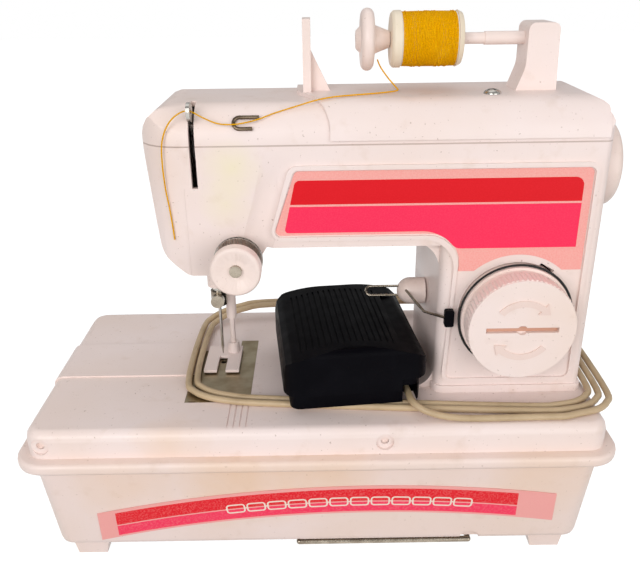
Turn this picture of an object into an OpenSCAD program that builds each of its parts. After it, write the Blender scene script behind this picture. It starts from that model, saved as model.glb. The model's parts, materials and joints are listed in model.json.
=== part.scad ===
/* [Base] */
// Width of the deck
deck_w = 280; // [260:1:320]
// Depth of the deck
deck_d = 132; // [124:1:160]
// Height of the deck wall above the rim
deck_h = 14; // [12:0.5:24]
// Thickness of the deck plate
deck_t = 3; // [2.4:0.1:5]
// Height of the tub between its floor and the rim
tub_h = 53; // [48:1:80]
// How far each tub wall leans in from the rim to the floor
tub_lean = 4; // [1:0.5:8]
// Height of the rim flange
rim_h = 6; // [4:0.5:10]
// How far the rim stands out past the deck
rim_out = 6; // [3:0.5:12]
// Height of the moulded feet
foot_h = 9; // [8:0.5:15]
// Wall thickness of the plastic mouldings
wall = 2.4; // [1.8:0.1:3]
// Radius of the upright corners of the base
base_corner_r = 9; // [6:1:20]

/* [Arm] */
// Depth of the arm, head and pillar
arm_d = 68; // [64:1:80]
// Height of the top of the arm above the deck
arm_top = 145; // [140:1:170]
// Height of the underside of the arm above the deck
arm_floor = 80; // [78:0.5:84]
// Height of the underside of the head above the deck
head_bottom = 66.5; // [64:0.5:68]
// Height of the parting line below the lid of the arm
parting_z = 128; // [126:0.5:130]
// Gap from the right end of the arm to the edge of the deck
arm_inset = 6; // [4:0.5:10]
// Width of the pillar at its back
pillar_w = 77; // [74:0.5:84]
// Reach from the right end of the arm to the needle
needle_reach = 185; // [180:1:200]
// Overhang of the head past the needle
head_overhang = 28; // [26:0.5:36]

/* [Top] */
// Thickness of the raised top cover
cover_t = 1.5; // [1.2:0.1:2]
// Height of the spool pin above the deck
spool_z = 169; // [166:0.5:180]
// Radius of the thread on the spool
thread_r = 12.2; // [10:0.1:12.4]
// Radius of the end discs of the spool
spool_r = 12.6; // [12.5:0.1:15]
// Length of the spool
spool_l = 32.4; // [28:0.2:36]

/* [Needle and drive] */
// Height of the main shaft above the deck
shaft_z = 110; // [109:0.5:111]
// Radius of the main shaft and the lower shaft
shaft_r = 3; // [2.5:0.1:3.4]
// Stroke of the needle bar
stroke = 28; // [24:0.5:28]
// Radius of the needle bar
bar_r = 3; // [2.4:0.1:3.2]
// Teeth of the gear on the main shaft
gear_teeth = 40; // [40:4:44]
// Teeth of the motor pinion
pinion_teeth = 10; // [10:1:11]
// Size of one gear tooth: pitch diameter over teeth
tooth_module = 1; // [0.9:0.05:1]
// Radius of the hand wheel
wheel_r = 21; // [16:0.5:26]

/* [Battery cap] */
// Radius of the hole in the pillar
cap_hole_r = 27; // [26.8:0.1:27.4]
// Radius of the knurled front of the cap
cap_r = 25.6; // [23:0.1:26]
// How far the cap stands out of the pillar
cap_out = 18; // [12:0.5:24]
// Radius of one cell
cell_r = 13.1; // [12:0.1:13.2]
// Length of one cell
cell_l = 50; // [46:0.5:50]

/* [Pedal] */
// Width of the foot pedal
pedal_w = 70; // [66:1:74]
// Depth of the foot pedal
pedal_d = 80; // [76:1:86]
// Height of the foot pedal at the crown
pedal_h = 32.4; // [30:0.2:36]
// Radius of the cord
cord_r = 1.7; // [1.4:0.1:1.8]

/* [Hidden] */
$fn = 48;
// Fewer sides where a form is blended from several solids
blend_fn = 32;
// Steps along one rounded corner of an outline
corner_steps = 6;
// Overrun of every cut
cut = 1;
// Gap round a shaft that turns or slides
run_gap = 0.08;
// Gap between pieces that are pushed together
fit_gap = 0.05;
// Gap between a moving piece and its neighbour
clear_gap = 0.3;

shell_colour = [0.94, 0.87, 0.85];
steel_colour = [0.72, 0.71, 0.69];
brass_colour = [0.78, 0.62, 0.30];
black_colour = [0.07, 0.07, 0.09];
red_colour = [0.88, 0.10, 0.15];
yellow_colour = [0.86, 0.67, 0.06];
cord_colour = [0.76, 0.67, 0.53];

// Places that follow from the driving sizes; heights are above the deck unless named otherwise
tub_floor = foot_h;
rim_bottom = foot_h + tub_h;
rim_top = rim_bottom + rim_h;
deck_z = rim_top + deck_h;
arm_right = deck_w / 2 - arm_inset;
pillar_back_x = arm_right - pillar_w;
pillar_front_step = 3;
pillar_front_x = pillar_back_x + pillar_front_step;
needle_x = arm_right - needle_reach;
head_left = needle_x - head_overhang;
arm_y = arm_d / 2;

// Base
tub_inset = 1;
tub_edge_r = 4;
deck_edge_r = 5;
rim_edge_r = 2;
foot_w = 19;
foot_sole_w = 15;
foot_l = 16;
foot_x = 119;
foot_y = 48;
post_r = 5;
post_x = 118;
post_y = 44;
screw_r = 1.6;
screw_head_r = 3.6;
screw_head_h = 2.2;
screw_l = 26;
hole_r = 4.3;
hole_depth = 4;
hole_inner_r = 2;
hole_z = -7.5;
hole_xs = [-131.8, 32.5];
band_h = 0.8;
band_front = -14.3;
band_back = 21.3;
groove_w = 0.7;
groove_depth = 0.5;
groove_pitch = 3;
groove_count = 4;

// Needle plate, in the deck round the needle
plate_t = 1.2;
plate_left = 15.5;
plate_right = 17.5;
plate_front = 40.4;
plate_back = 13;
tongue_w = 9.6;
tongue_back = 24.5;
plate_ledge = 2.5;
needle_hole_r = 1.6;
feed_slot_w = 3.4;
feed_slot_l = 18;
feed_slot_offset = 5.5;
side_slot_w = 1.6;
side_slot_l = 20;
notch_w = 3.5;
notch_l = 1.2;

// Arm and head outlines
head_top_r = 16;
head_lean = 7.5;
head_chin = 10;
head_chin_r = 12;
head_foot_r = 7;
head_foot = 8;
head_right = 29;
head_right_lean = 8;
arm_end_r = 12;
arm_edge_r = 15;
head_plan_r = 20;
arm_plan_r = 4;
pillar_plan_r = 5;
throat_r = 14;
skirt_r = 12;
plinth_out = 1;
plinth_h = 4;
slot_w = 2.6;
slot_offset = 2;
slot_x = needle_x - slot_offset;
slot_bottom = 109;
face_offset = 7;
face_x = needle_x - face_offset;
flute_r = 14;
flute_depth = 2.2;

// Raised frame round the label
frame_w = 2;
frame_h = 1.2;
frame_r = 5;
frame_top = 119;
frame_low = 83.5;
frame_bottom = 6.5;
frame_left_top = 40.5;
frame_left_low = 30;
frame_right_gap = 5;
frame_pillar_gap = 3;
frame_pillar_lean = 3.5;
frame_throat_r = 15;
label_t = 0.3;
label_gap = 0.6;
label_low = 67;
label_cap_r = 31;

// Main shaft, crank and gears, along X from the needle
bulk_offset = 35;
bulk_x = needle_x + bulk_offset;
bulk_t = 3;
crank_offset = 18;
crank_x = needle_x + crank_offset;
crank_t = 4;
crank_r = 17;
crank_pin_r = 2;
yoke_face = 6;
yoke_h = 8;
yoke_half_d = 19;
yoke_back = 4;
bush_r = 4.8;
bush_flange_r = 6.4;
bush_flange_t = 0.7;
gear_offset = 26;
gear_x = arm_right - gear_offset;
gear_t = 6;
gear_hub_r = 5;
pulley_offset = 8;
pulley_x = arm_right - pulley_offset;
pulley_t = 4.4;
belt_r = 1;
belt_path_r = 12.3;
pulley_r = 13.3;
motor_wall_offset = 30;
motor_wall_x = arm_right - motor_wall_offset;
motor_wall_drop = 10.5;
motor_wall_t = 2.4;
motor_r = 11;
motor_l = 30;
motor_boss_r = 3.5;
motor_shaft_r = 1.1;
motor_z = shaft_z - tooth_module * (gear_teeth + pinion_teeth) / 2;
wheel_gap = 0.6;
wheel_end = deck_w / 2 + rim_out;
wheel_edge_r = 4;
// Shape of a gear tooth as shares of the tooth size and of the pitch
tooth_root_share = 1.15;
tooth_tip_share = 0.8;
tooth_shares = [-0.28, -0.12, 0.12, 0.28];

// Lower shaft and feed, heights below the deck
lower_z = -26;
hanger_t = 3;
hanger_half_d = 14;
hanger_offsets = [20, 18];
hanger_xs = [needle_x + hanger_offsets[0], arm_right - hanger_offsets[1]];
hanger_drop = 8;
looper_offset = 1.6;
looper_x = needle_x + looper_offset;
looper_t = 3;
looper_r = 9;
cam_r = 6;
cam_off = 2;
cam_offset = 8;
cam_x = needle_x + cam_offset;
cam_t = 3;
feed_travel = 2;
feed_top = 0.5;
feed_bar_top = -3;
feed_bar_h = 5;
feed_bar_half_d = 6.7;
feed_tongue_h = 4;
feed_leg_t = 2;

// Needle bar and presser
bar_bottom = 36;
bar_top = 128;
boss_bottom = 47;
boss_r = 5.5;
bracket_z = 88;
bracket_t = 3;
bracket_half_d = 8;
bracket_back = 16;
bracket_flange = 4.5;
clamp_r = 4.2;
clamp_h = 8;
clamp_screw_r = 3.5;
clamp_screw_t = 3;
clamp_pin_r = 1.2;
needle_r = 0.8;
needle_tip_z = 5.5;
needle_point = 5;
needle_grip = 8;
take_up_t = 1.6;
take_up_tip_r = 3.4;
take_up_eye_r = 1.2;
presser_offset = 5;
presser_x = needle_x + presser_offset;
presser_y = 8;
presser_r = 2.7;
presser_thin_r = 1.5;
presser_step_z = 24;
presser_lift = 6;
lift_z = 72.5;
lift_r = 3;
lobe_r = 1.5;
lobe_reach = 6.5;
finger_half_w = 2;
finger_h = 2.5;
finger_y = 9;
foot_left = 9.4;
foot_right = 9.6;
foot_front = 13;
foot_back = 14;
foot_sole_t = 1.8;
foot_sole_z = 0.8;
foot_hub_r = 3.2;
foot_hub_h = 8;
foot_slot_w = 4.6;
handle_l = 22;
handle_w = 6;
handle_t = 3;

// Thread tension on the head
knob_offset = 16;
knob_x = needle_x + knob_offset;
knob_z = 76;
knob_r = 11.5;
knob_front = 20;
knob_t = 8;
knob_rim = 1.8;
knob_dish = 2.5;
knob_hub_r = 4.5;
stud_r = 2;
stud_head_r = 2.8;
stud_head_h = 1.6;
tension_boss_r = 8;
tension_boss_h = 4;
disc_r = 11.4;
disc_t = 0.8;
disc_gap = 1.2;
tension_spring_r = 3.1;
wire_thin_r = 0.45;

// Top cover, fin, post and spool
cover_left = 44;
cover_sweep = 15;
cover_low = 130;
cover_sweep_r = 30;
cover_right_gap = 3;
fin_x = 47.2;
fin_t = 3.7;
fin_half_d = 6;
fin_top = 178.7;
gusset_z = 164.8;
gusset_l = 9.3;
gusset_t = 2.4;
post_left = 36;
post_right = 22;
post_half_d = 9;
post_top = 176;
post_flare = 4;
post_edge_r = 3;
screw_x = 52;
screw_y = -16;
dome_r = 4;
dome_h = 2.2;
pin_r = 3;
pin_tip_r = 2.6;
pin_step = 54;
pin_end = 112;
pin_grip = 8;
spool_gap = 0.4;
spool_right = 65;
spool_end_l = 4.6;
spool_end_right = 2.4;
spool_core_r = 6;
spool_bore_r = 3;
strand_r = 0.34;
winding_turns = 15;
winding_rings = 24;
core_under = 0.9;
end_cap_r = 13.8;
end_cap_t = 6;
end_cap_hub = 2.3;
end_cap_hub_r = 4;
end_cap_neck_r = 6.5;
end_cap_tip_r = 3.7;
end_cap_tip_l = 7.3;
end_cap_bore = 14.6;
cap_travel = 15;

// Battery cap in the pillar
cap_offset = 37.5;
cap_x = arm_right - cap_offset;
cap_z = 44;
cap_plug = 5.4;
cap_plug_gap = 0.6;
cap_plug_r = cap_hole_r - cap_plug_gap;
cap_wall = 3;
housing_t = 2.6;
bayonet_depth = 1.3;
bayonet_t = 3;
lug_t = 2;
lug_w = 7;
lug_turn = -60;
contact_t = 0.5;
knurl_count = 72;
knurl_depth = 0.5;
knurl_l = 9;
coin_w = 2.6;
coin_l = 34;
coin_depth = 2;
coin_nick_r = 2.4;
cell_nub_r = 3;
cell_nub_h = 1.2;

// Wire lever on the side of the pillar
lever_y = 0;
lever_z = 42;
hub_r = 7;
hub_out = 15;
hub_pin_r = 2;
hub_pin_l = 7;
lever_wire_r = 0.7;
hairpin_l = 20;
hairpin_half = 2.6;
shoe_w = 4.5;
shoe_h = 8.6;
shoe_t = 3;
arm_bend = [54, -28, 43];
arm_tip = [63, -39.6, 45];

// Carrying bail under the tub
bail_r = 1.5;
bail_left = -10;
bail_right = 78;
bail_front = 58;
bail_back = 18;
bail_gap = 0.4;
ear_t = 3;
ear_r = 3.2;
bail_pin_l = 4;
bail_notch_r = 5.2;
bail_hole_r = 2.2;
notch_reach = 9;

// Pedal
pedal_at = [-15, -57];
pedal_turn = 6;
pedal_lift = 2 * cord_r;
pedal_side_h = 26;
pedal_seam = 8.5;
pedal_step_h = 14.5;
pedal_step_w = 13;
pedal_step_d = 12;
pedal_plan_r = 8;
pedal_edge_r = 5;
pedal_wall = 2.2;
pedal_gap = 0.8;
pedal_inner_h = 15.5;
rib_count = 16;
rib_w = 0.9;
rib_depth = 0.6;
rib_end = 9;
panel_w = 7;
panel_l = 50;
panel_depth = 0.8;
hinge_y = 71.5;
ear_half_d = 2.8;
hinge_z = 10;
hinge_r = 1.5;
ear_x = 9;
ear_w = 4;
spring_x = 35;
spring_y = 30;
spring_r = 5;
spring_wire_r = 0.6;
spring_turns = 7;
cord_notch_x = 58;
cord_notch_w = 7.4;
cord_notch_d = 9;
cord_notch_h = 9.5;

// Cord loops laid round the pillar and the needle
loop_x = 39;
loop_y = 3;
loop_half_w = 109.5;
loop_half_d = 57;
loop_square = 6;
loop_slant = 0.15;
loop_pitch = 4.2;
loop_rise = 8.5;
loop_left_lift = 1.15;
loop_start = -60;
loop_turns = 2.25;
loop_rings = 24;
cord_sides = 6;
// The free end from the pedal to the first loop
pedal_lead_route = [
  [45.1, -38.6, 6], [45.7, -44.6, 6], [46.3, -49.5, 5.9], [48, -53.5, 5.4], [52, -56.8, 4.2],
  [58, -58.6, 2.8],
  [66, -60, 2], [76, -60.6, 1.8], [87, -60.5, 1.75], [98, -60.2, 1.7], [112, -60, 1.7]
];
// The last stretch from the loops to the gland behind the pillar
gland_route = [[103, 47.4, 10.4], [96, 46.8, 10.6], [91.4, 44.6, 10.8], [89.4, 41.4, 11],
               [89.2, 38.5, 11]];
gland_x = 89.2;
gland_z = 11;
gland_r = 4;
gland_tip_r = 2.6;
gland_l = 9;

// Thread from the spool to the end that hangs at the head
strand_route = [
  [44, -3.5, 156.6], [42, -5, 152], [40, -8, 147.6], [30, -14, 147], [20, -18, 147], [10, -22, 146.9],
  [2, -25, 146], [-8, -27.5, 143.6], [-17, -30.4, 141.4], [-23, -32.8, 139.6], [-29, -34.4, 138.4],
  [-35, -34.9, 137.8], [-41, -35.1, 138.4], [-47, -35.2, 141], [-53, -34.4, 143.8], [-58, -34.8, 142.4],
  [-62.5, -34.8, 138], [-65.6, -34.6, 131], [-66.6, -34.2, 122], [-66.4, -34, 110], [-65.4, -34, 100],
  [-64.8, -34, 92], [-64.4, -34.2, 85]
];
route_sides = 6;

function unit(v) = v / norm(v);

// Points of the round corner at b, whose third number is its radius
function corner(a, b, c) =
  b[2] <= 0 ? [[b.x, b.y]] :
  let (
    p = [b.x, b.y],
    u = unit([a.x, a.y] - p),
    v = unit([c.x, c.y] - p),
    half = acos(u * v) / 2,
    mid = p + unit(u + v) * b[2] / sin(half),
    from = p + u * b[2] / tan(half) - mid,
    to = p + v * b[2] / tan(half) - mid,
    start = atan2(from.y, from.x),
    sweep = (180 - 2 * half) * sign(from.x * to.y - from.y * to.x)
  )
  [for (i = [0:corner_steps]) let (t = start + sweep * i / corner_steps) mid + b[2] * [cos(t), sin(t)]];

// An outline whose corners are rounded by the third number of each point
function soft(p) = [
  for (i = [0:len(p) - 1]) each corner(p[(i + len(p) - 1) % len(p)], p[i], p[(i + 1) % len(p)])
];

// Points of one ring of a tube round point i of a path
function ring(path, i, r, sides, hint) =
  let (
    along = unit(path[min(i + 1, len(path) - 1)] - path[max(i - 1, 0)]),
    side = unit(cross(along, hint)),
    up = cross(side, along)
  )
  [for (k = [0:sides - 1]) path[i] + r * (cos(360 * k / sides) * up - sin(360 * k / sides) * side)];

// A round tube of triangles along a path
module tube(path, r, sides, hint = [0, 0, 1]) {
  last = (len(path) - 1) * sides;
  walls = [
    for (i = [0:len(path) - 2], k = [0:sides - 1])
      let (a = i * sides + k, b = i * sides + (k + 1) % sides)
      each [[a, b, b + sides], [a, b + sides, a + sides]]
  ];
  caps = [for (k = [1:sides - 2]) each [[0, k + 1, k], [last, last + k, last + k + 1]]];
  polyhedron([for (i = [0:len(path) - 1]) each ring(path, i, r, sides, hint)], concat(walls, caps));
}

// Path of a coil spring that stands on the floor of its own frame
function spring_path(r, wire_r, h, turns) = [
  for (i = [0:8 * turns])
    let (t = 360 * i / 8)
    [r * cos(t), r * sin(t), wire_r + (h - 2 * wire_r) * i / (8 * turns)]
];

// Least gap of a wound tube to itself, on points at least half a turn apart
function least_gap(path, rings, r) =
  min([
    for (i = [0:len(path) - 1], j = [0:len(path) - 1])
      if (j > i + rings / 2)
        norm(path[i] - path[j])
  ]) - 2 * r;

module above_deck() translate([0, 0, deck_z]) children();

module rod_x(x0, x1, y, z, r) translate([x0, y, z]) rotate([0, 90, 0]) cylinder(h = x1 - x0, r = r);

module rod_y(y0, y1, x, z, r) translate([x, y1, z]) rotate([90, 0, 0]) cylinder(h = y1 - y0, r = r);

module rod_z(z0, z1, x, y, r) translate([x, y, z0]) cylinder(h = z1 - z0, r = r);

// A box from one corner to the opposite one
module block(low, high) translate(low) cube(high - low);

// A rod with round ends between two points
module link(a, b, r) {
  d = b - a;
  translate(a)
    rotate([0, acos(d.z / norm(d)), atan2(d.y, d.x)])
      cylinder(h = norm(d), r = r);
  translate(b)
    sphere(r);
}

// Prisms of an outline seen from the front, from the side and from above
module front_prism(points, y0, y1)
  translate([0, y1, 0]) rotate([90, 0, 0]) linear_extrude(y1 - y0) polygon(points);

module side_prism(points, x0, x1)
  translate([x0, 0, 0]) rotate([90, 0, 90]) linear_extrude(x1 - x0) polygon(points);

module plan_prism(points, z0, z1) translate([0, 0, z0]) linear_extrude(z1 - z0) polygon(points);

// A slab with round upright corners and softened top and bottom edges
module soft_slab(w, d, z0, z1, r, top_r, bottom_r) {
  steps = 3;
  rim = concat(
    [for (i = [0:steps]) let (t = 90 * i / steps) [r - bottom_r + bottom_r * sin(t),
       z0 + bottom_r - bottom_r * cos(t)]],
    [for (i = [0:steps]) let (t = 90 * i / steps) [r - top_r + top_r * cos(t),
       z1 - top_r + top_r * sin(t)]]
  );
  hull()
    for (sx = [-1, 1], sy = [-1, 1])
      translate([sx * (w / 2 - r), sy * (d / 2 - r), 0])
        rotate_extrude($fn = blend_fn)
          polygon(concat([[0, z0]], rim, [[0, z1]]));
}

// The tub without its rim, shrunk by a wall
module tub_form(i, z1) {
  r = base_corner_r - i;
  top = [deck_w / 2 - tub_inset - base_corner_r, deck_d / 2 - tub_inset - base_corner_r];
  steps = 3;
  edge = tub_edge_r - i;
  rim = [
    for (k = [0:steps])
      let (t = 90 * k / steps)
      [r - edge + edge * sin(t), tub_floor + i + edge - edge * cos(t)]
  ];
  hull()
    for (sx = [-1, 1], sy = [-1, 1]) {
      translate([sx * top.x, sy * top.y, rim_bottom - fit_gap])
        cylinder(r = r, h = z1 - rim_bottom + fit_gap, $fn = blend_fn);
      translate([sx * (top.x - tub_lean), sy * (top.y - tub_lean), 0])
        rotate_extrude($fn = blend_fn)
          polygon(concat([[0, tub_floor + i]], rim, [[0, tub_floor + i + edge]]));
    }
}

bail_z = foot_h - bail_r - bail_gap;

module base_tub() {
  color(shell_colour)
  difference() {
    union() {
      difference() {
        tub_form(0, rim_bottom);
        tub_form(wall, rim_bottom + cut);
      }
      difference() {
        soft_slab(deck_w + 2 * rim_out, deck_d + 2 * rim_out, rim_bottom, rim_top,
           base_corner_r + rim_out, rim_edge_r, rim_edge_r);
        plan_prism(soft([
          for (s = [[-1, -1], [1, -1], [1, 1], [-1, 1]])
            [s.x * (deck_w / 2 - tub_inset - wall), s.y * (deck_d / 2 - tub_inset - wall),
               base_corner_r - wall]
        ]), rim_bottom - cut, rim_top + cut);
      }
      for (sx = [-1, 1], sy = [-1, 1]) {
        front_prism([
          [sx * foot_x - foot_sole_w / 2, 0], [sx * foot_x + foot_sole_w / 2, 0],
          [sx * foot_x + foot_w / 2, foot_h + wall / 2],
          [sx * foot_x - foot_w / 2, foot_h + wall / 2]
        ], sy * foot_y - foot_l / 2, sy * foot_y + foot_l / 2);
        rod_z(tub_floor + wall / 2, rim_top - fit_gap, sx * post_x, sy * post_y, post_r);
      }
      for (x = [bail_left + bail_r + bail_pin_l / 2, bail_right - bail_r - bail_pin_l / 2])
        difference() {
          union() {
            rod_x(x - ear_t / 2, x + ear_t / 2, -bail_back, bail_z, ear_r);
            block([x - ear_t / 2, -bail_back - ear_r, bail_z],
               [x + ear_t / 2, -bail_back + ear_r, tub_floor + wall / 2]);
          }
          rod_x(x - ear_t, x + ear_t, -bail_back, bail_z, bail_r + run_gap);
        }
    }
    for (sx = [-1, 1], sy = [-1, 1]) {
      rod_z(tub_floor - cut, tub_floor + screw_l + cut, sx * post_x, sy * post_y,
         screw_r + fit_gap);
      rod_z(tub_floor - cut, tub_floor + screw_head_h, sx * post_x, sy * post_y,
         screw_head_r + fit_gap);
    }
    rod_y(-deck_d, -deck_d / 2 + notch_reach, bail_right, tub_floor + tub_edge_r / 4, bail_notch_r);
    rod_y(-deck_d, -deck_d / 2 + notch_reach, bail_left, tub_floor, bail_hole_r);
  }
}

// Outline of the needle plate, grown by a gap
function plate_outline(i) = [
  [needle_x - plate_left - i, -plate_front - i], [needle_x + plate_right + i, -plate_front - i],
  [needle_x + plate_right + i, tongue_back + i],
  [needle_x + plate_right - tongue_w - i, tongue_back + i],
  [needle_x + plate_right - tongue_w - i, plate_back + i], [needle_x - plate_left - i, plate_back + i]
];

module base_deck() {
  color(shell_colour)
  above_deck()
  difference() {
    union() {
      difference() {
        union() {
          soft_slab(deck_w, deck_d, -deck_h, 0, base_corner_r, deck_edge_r, 0);
          intersection() {
            soft_slab(deck_w + 2 * band_h, deck_d, -deck_h, band_h, base_corner_r,
               deck_edge_r, 0);
            block([-deck_w, band_front, -deck_h],
               [needle_x - plate_left - cut, band_back, deck_h]);
          }
        }
        soft_slab(deck_w - 2 * wall, deck_d - 2 * wall, -deck_h - cut, -deck_t,
           base_corner_r - wall,
           deck_edge_r - wall, 0);
      }
      for (x = hanger_xs)
        block([x, -hanger_half_d, lower_z - hanger_drop],
           [x + hanger_t, hanger_half_d, -deck_t + fit_gap]);
    }
    plan_prism(plate_outline(fit_gap), -plate_t, deck_h);
    plan_prism(plate_outline(-plate_ledge), -deck_h, deck_h);
    for (x = hanger_xs)
      rod_x(x - cut, x + hanger_t + cut, 0, lower_z, bush_r + fit_gap);
    block([hanger_xs[0] - cut, -feed_bar_half_d - feed_travel - clear_gap,
       feed_bar_top - feed_tongue_h - clear_gap - deck_t],
       [hanger_xs[0] + hanger_t + cut, feed_bar_half_d + feed_travel + clear_gap,
       feed_bar_top + clear_gap - deck_t]);
    for (sy = [-1, 1])
      rod_z(-deck_h, deck_h, pulley_x + pulley_t / 2, sy * belt_path_r, 2 * belt_r + clear_gap);
    for (x = hole_xs) {
      rod_y(-deck_d / 2 - cut, -deck_d / 2 + hole_depth - wall, x, hole_z, hole_r);
      rod_y(-deck_d / 2 - cut, -deck_d / 2 + hole_depth, x, hole_z, hole_inner_r);
    }
    for (k = [0:groove_count - 1])
      block([needle_x + plate_right - tongue_w + groove_pitch * k, -deck_d, -groove_depth],
         [needle_x + plate_right - tongue_w + groove_pitch * k + groove_w, -plate_front - cut,
         deck_h]);
  }
}

module base_screws() {
  color(steel_colour)
  for (sx = [-1, 1], sy = [-1, 1])
    translate([sx * post_x, sy * post_y, tub_floor])
      union() {
        cylinder(r = screw_r, h = screw_l);
        cylinder(r = screw_head_r, h = screw_head_h - fit_gap);
      }
}

module needle_plate() {
  color(steel_colour)
  above_deck()
  difference() {
    plan_prism(plate_outline(0), -plate_t, 0);
    rod_z(-deck_t, cut, needle_x, 0, needle_hole_r);
    for (s = [-1, 1])
      block([needle_x + s * feed_slot_offset - feed_slot_w / 2, -feed_slot_l / 2, -deck_t],
         [needle_x + s * feed_slot_offset + feed_slot_w / 2, feed_slot_l / 2, cut]);
    block([needle_x - plate_left - cut, -side_slot_l + plate_back / 2, -deck_t],
       [needle_x - plate_left + side_slot_w, plate_back / 2, cut]);
    for (x = [needle_x - plate_left + notch_w / 2, needle_x + plate_right - 2 * notch_w])
      block([x, -plate_front - cut, -deck_t], [x + notch_w, -plate_front + notch_l, cut]);
  }
}

// The head and arm as one block, shrunk by a wall
module arm_block(i) {
  intersection() {
    front_prism(soft([
      [head_left + i, arm_top - i, head_top_r - i],
      [arm_right - i, arm_top - i, arm_end_r - i],
      [arm_right - i, arm_floor + i, 0],
      [needle_x + head_right - i, arm_floor + i, 0],
      [needle_x + head_right - head_right_lean - i, head_bottom + i, head_foot_r],
      [needle_x - head_foot + i, head_bottom + i, head_foot_r],
      [head_left + head_lean + i, head_bottom + head_chin + i, head_chin_r]
    ]), -arm_y - abs(i), arm_y + abs(i));
    side_prism(soft([
      [-arm_y + i, 0, 0], [-arm_y + i, arm_top - i, arm_edge_r - i],
      [arm_y - i, arm_top - i, arm_edge_r - i], [arm_y - i, 0, 0]
    ]), head_left - cut - abs(i), arm_right + cut + abs(i));
    plan_prism(soft([
      [head_left + i, -arm_y + i, head_plan_r - i], [arm_right - i, -arm_y + i, arm_plan_r],
      [arm_right - i, arm_y - i, arm_plan_r], [head_left + i, arm_y - i, head_plan_r - i]
    ]), 0, arm_top + cut + abs(i));
  }
}

// Plan of the pillar, shrunk by a wall
function pillar_plan(i) = soft([
  [pillar_front_x + i, -arm_y + i, pillar_plan_r - i], [arm_right - i, -arm_y + i, arm_plan_r],
  [arm_right - i, arm_y - i, arm_plan_r], [pillar_back_x + i, arm_y - i, pillar_plan_r - i]
]);

// A concave fillet prism in the corner at x, z, open to the left and up or down
module fillet_prism(x, z, r, dir) {
  difference() {
    block([x - r, -arm_y + pillar_plan_r, min(z, z + dir * r)],
       [x + pillar_plan_r, arm_y - pillar_plan_r, max(z, z + dir * r)]);
    rod_y(-arm_d, arm_d, x - r, z + dir * r, r);
  }
}

// Outline of the raised label frame, shrunk by a width
function frame_outline(i) = soft([
  [needle_x + frame_left_top + i, frame_top - i, frame_r - i],
  [arm_right - frame_right_gap - i, frame_top - i, frame_r - i],
  [arm_right - frame_right_gap - i, frame_bottom + i, frame_r - i],
  [pillar_front_x + frame_pillar_gap + i, frame_bottom + i, frame_r - i],
  [pillar_front_x + frame_pillar_gap + frame_pillar_lean + i, frame_low + i, frame_throat_r],
  [needle_x + frame_left_low + i, frame_low + i, frame_r - i]
]);

// Part of the head that the face cover takes, grown by a gap
module face_zone(i) {
  front_prism([
    [head_left - cut, 0], [face_x + i, 0], [face_x + i, slot_bottom],
    [slot_x - slot_w / 2 + i, slot_bottom], [slot_x - slot_w / 2 + i, parting_z + i],
    [head_left - cut, parting_z + i]
  ], -arm_d, arm_d);
}

// The cut for the take-up arm through the front of the head
module take_up_slot() {
  block([slot_x - slot_w / 2, -arm_d, slot_bottom],
     [slot_x + slot_w / 2, -yoke_half_d + wall, arm_top + cut + cover_t]);
}

module bulkhead(x, t, z0) {
  intersection() {
    arm_block(wall / 2);
    block([x, -arm_d, z0], [x + t, arm_d, parting_z]);
  }
}

cap_back_y = -arm_y + cap_plug;
cells_y0 = cap_back_y + contact_t + clear_gap;
cells_y1 = cells_y0 + cell_l;
housing_y1 = cells_y1 + contact_t;
housing_r = cap_hole_r + housing_t;
wall_x = pillar_front_x - (pillar_front_x - pillar_back_x) * (lever_y + arm_y) / arm_d;

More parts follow.
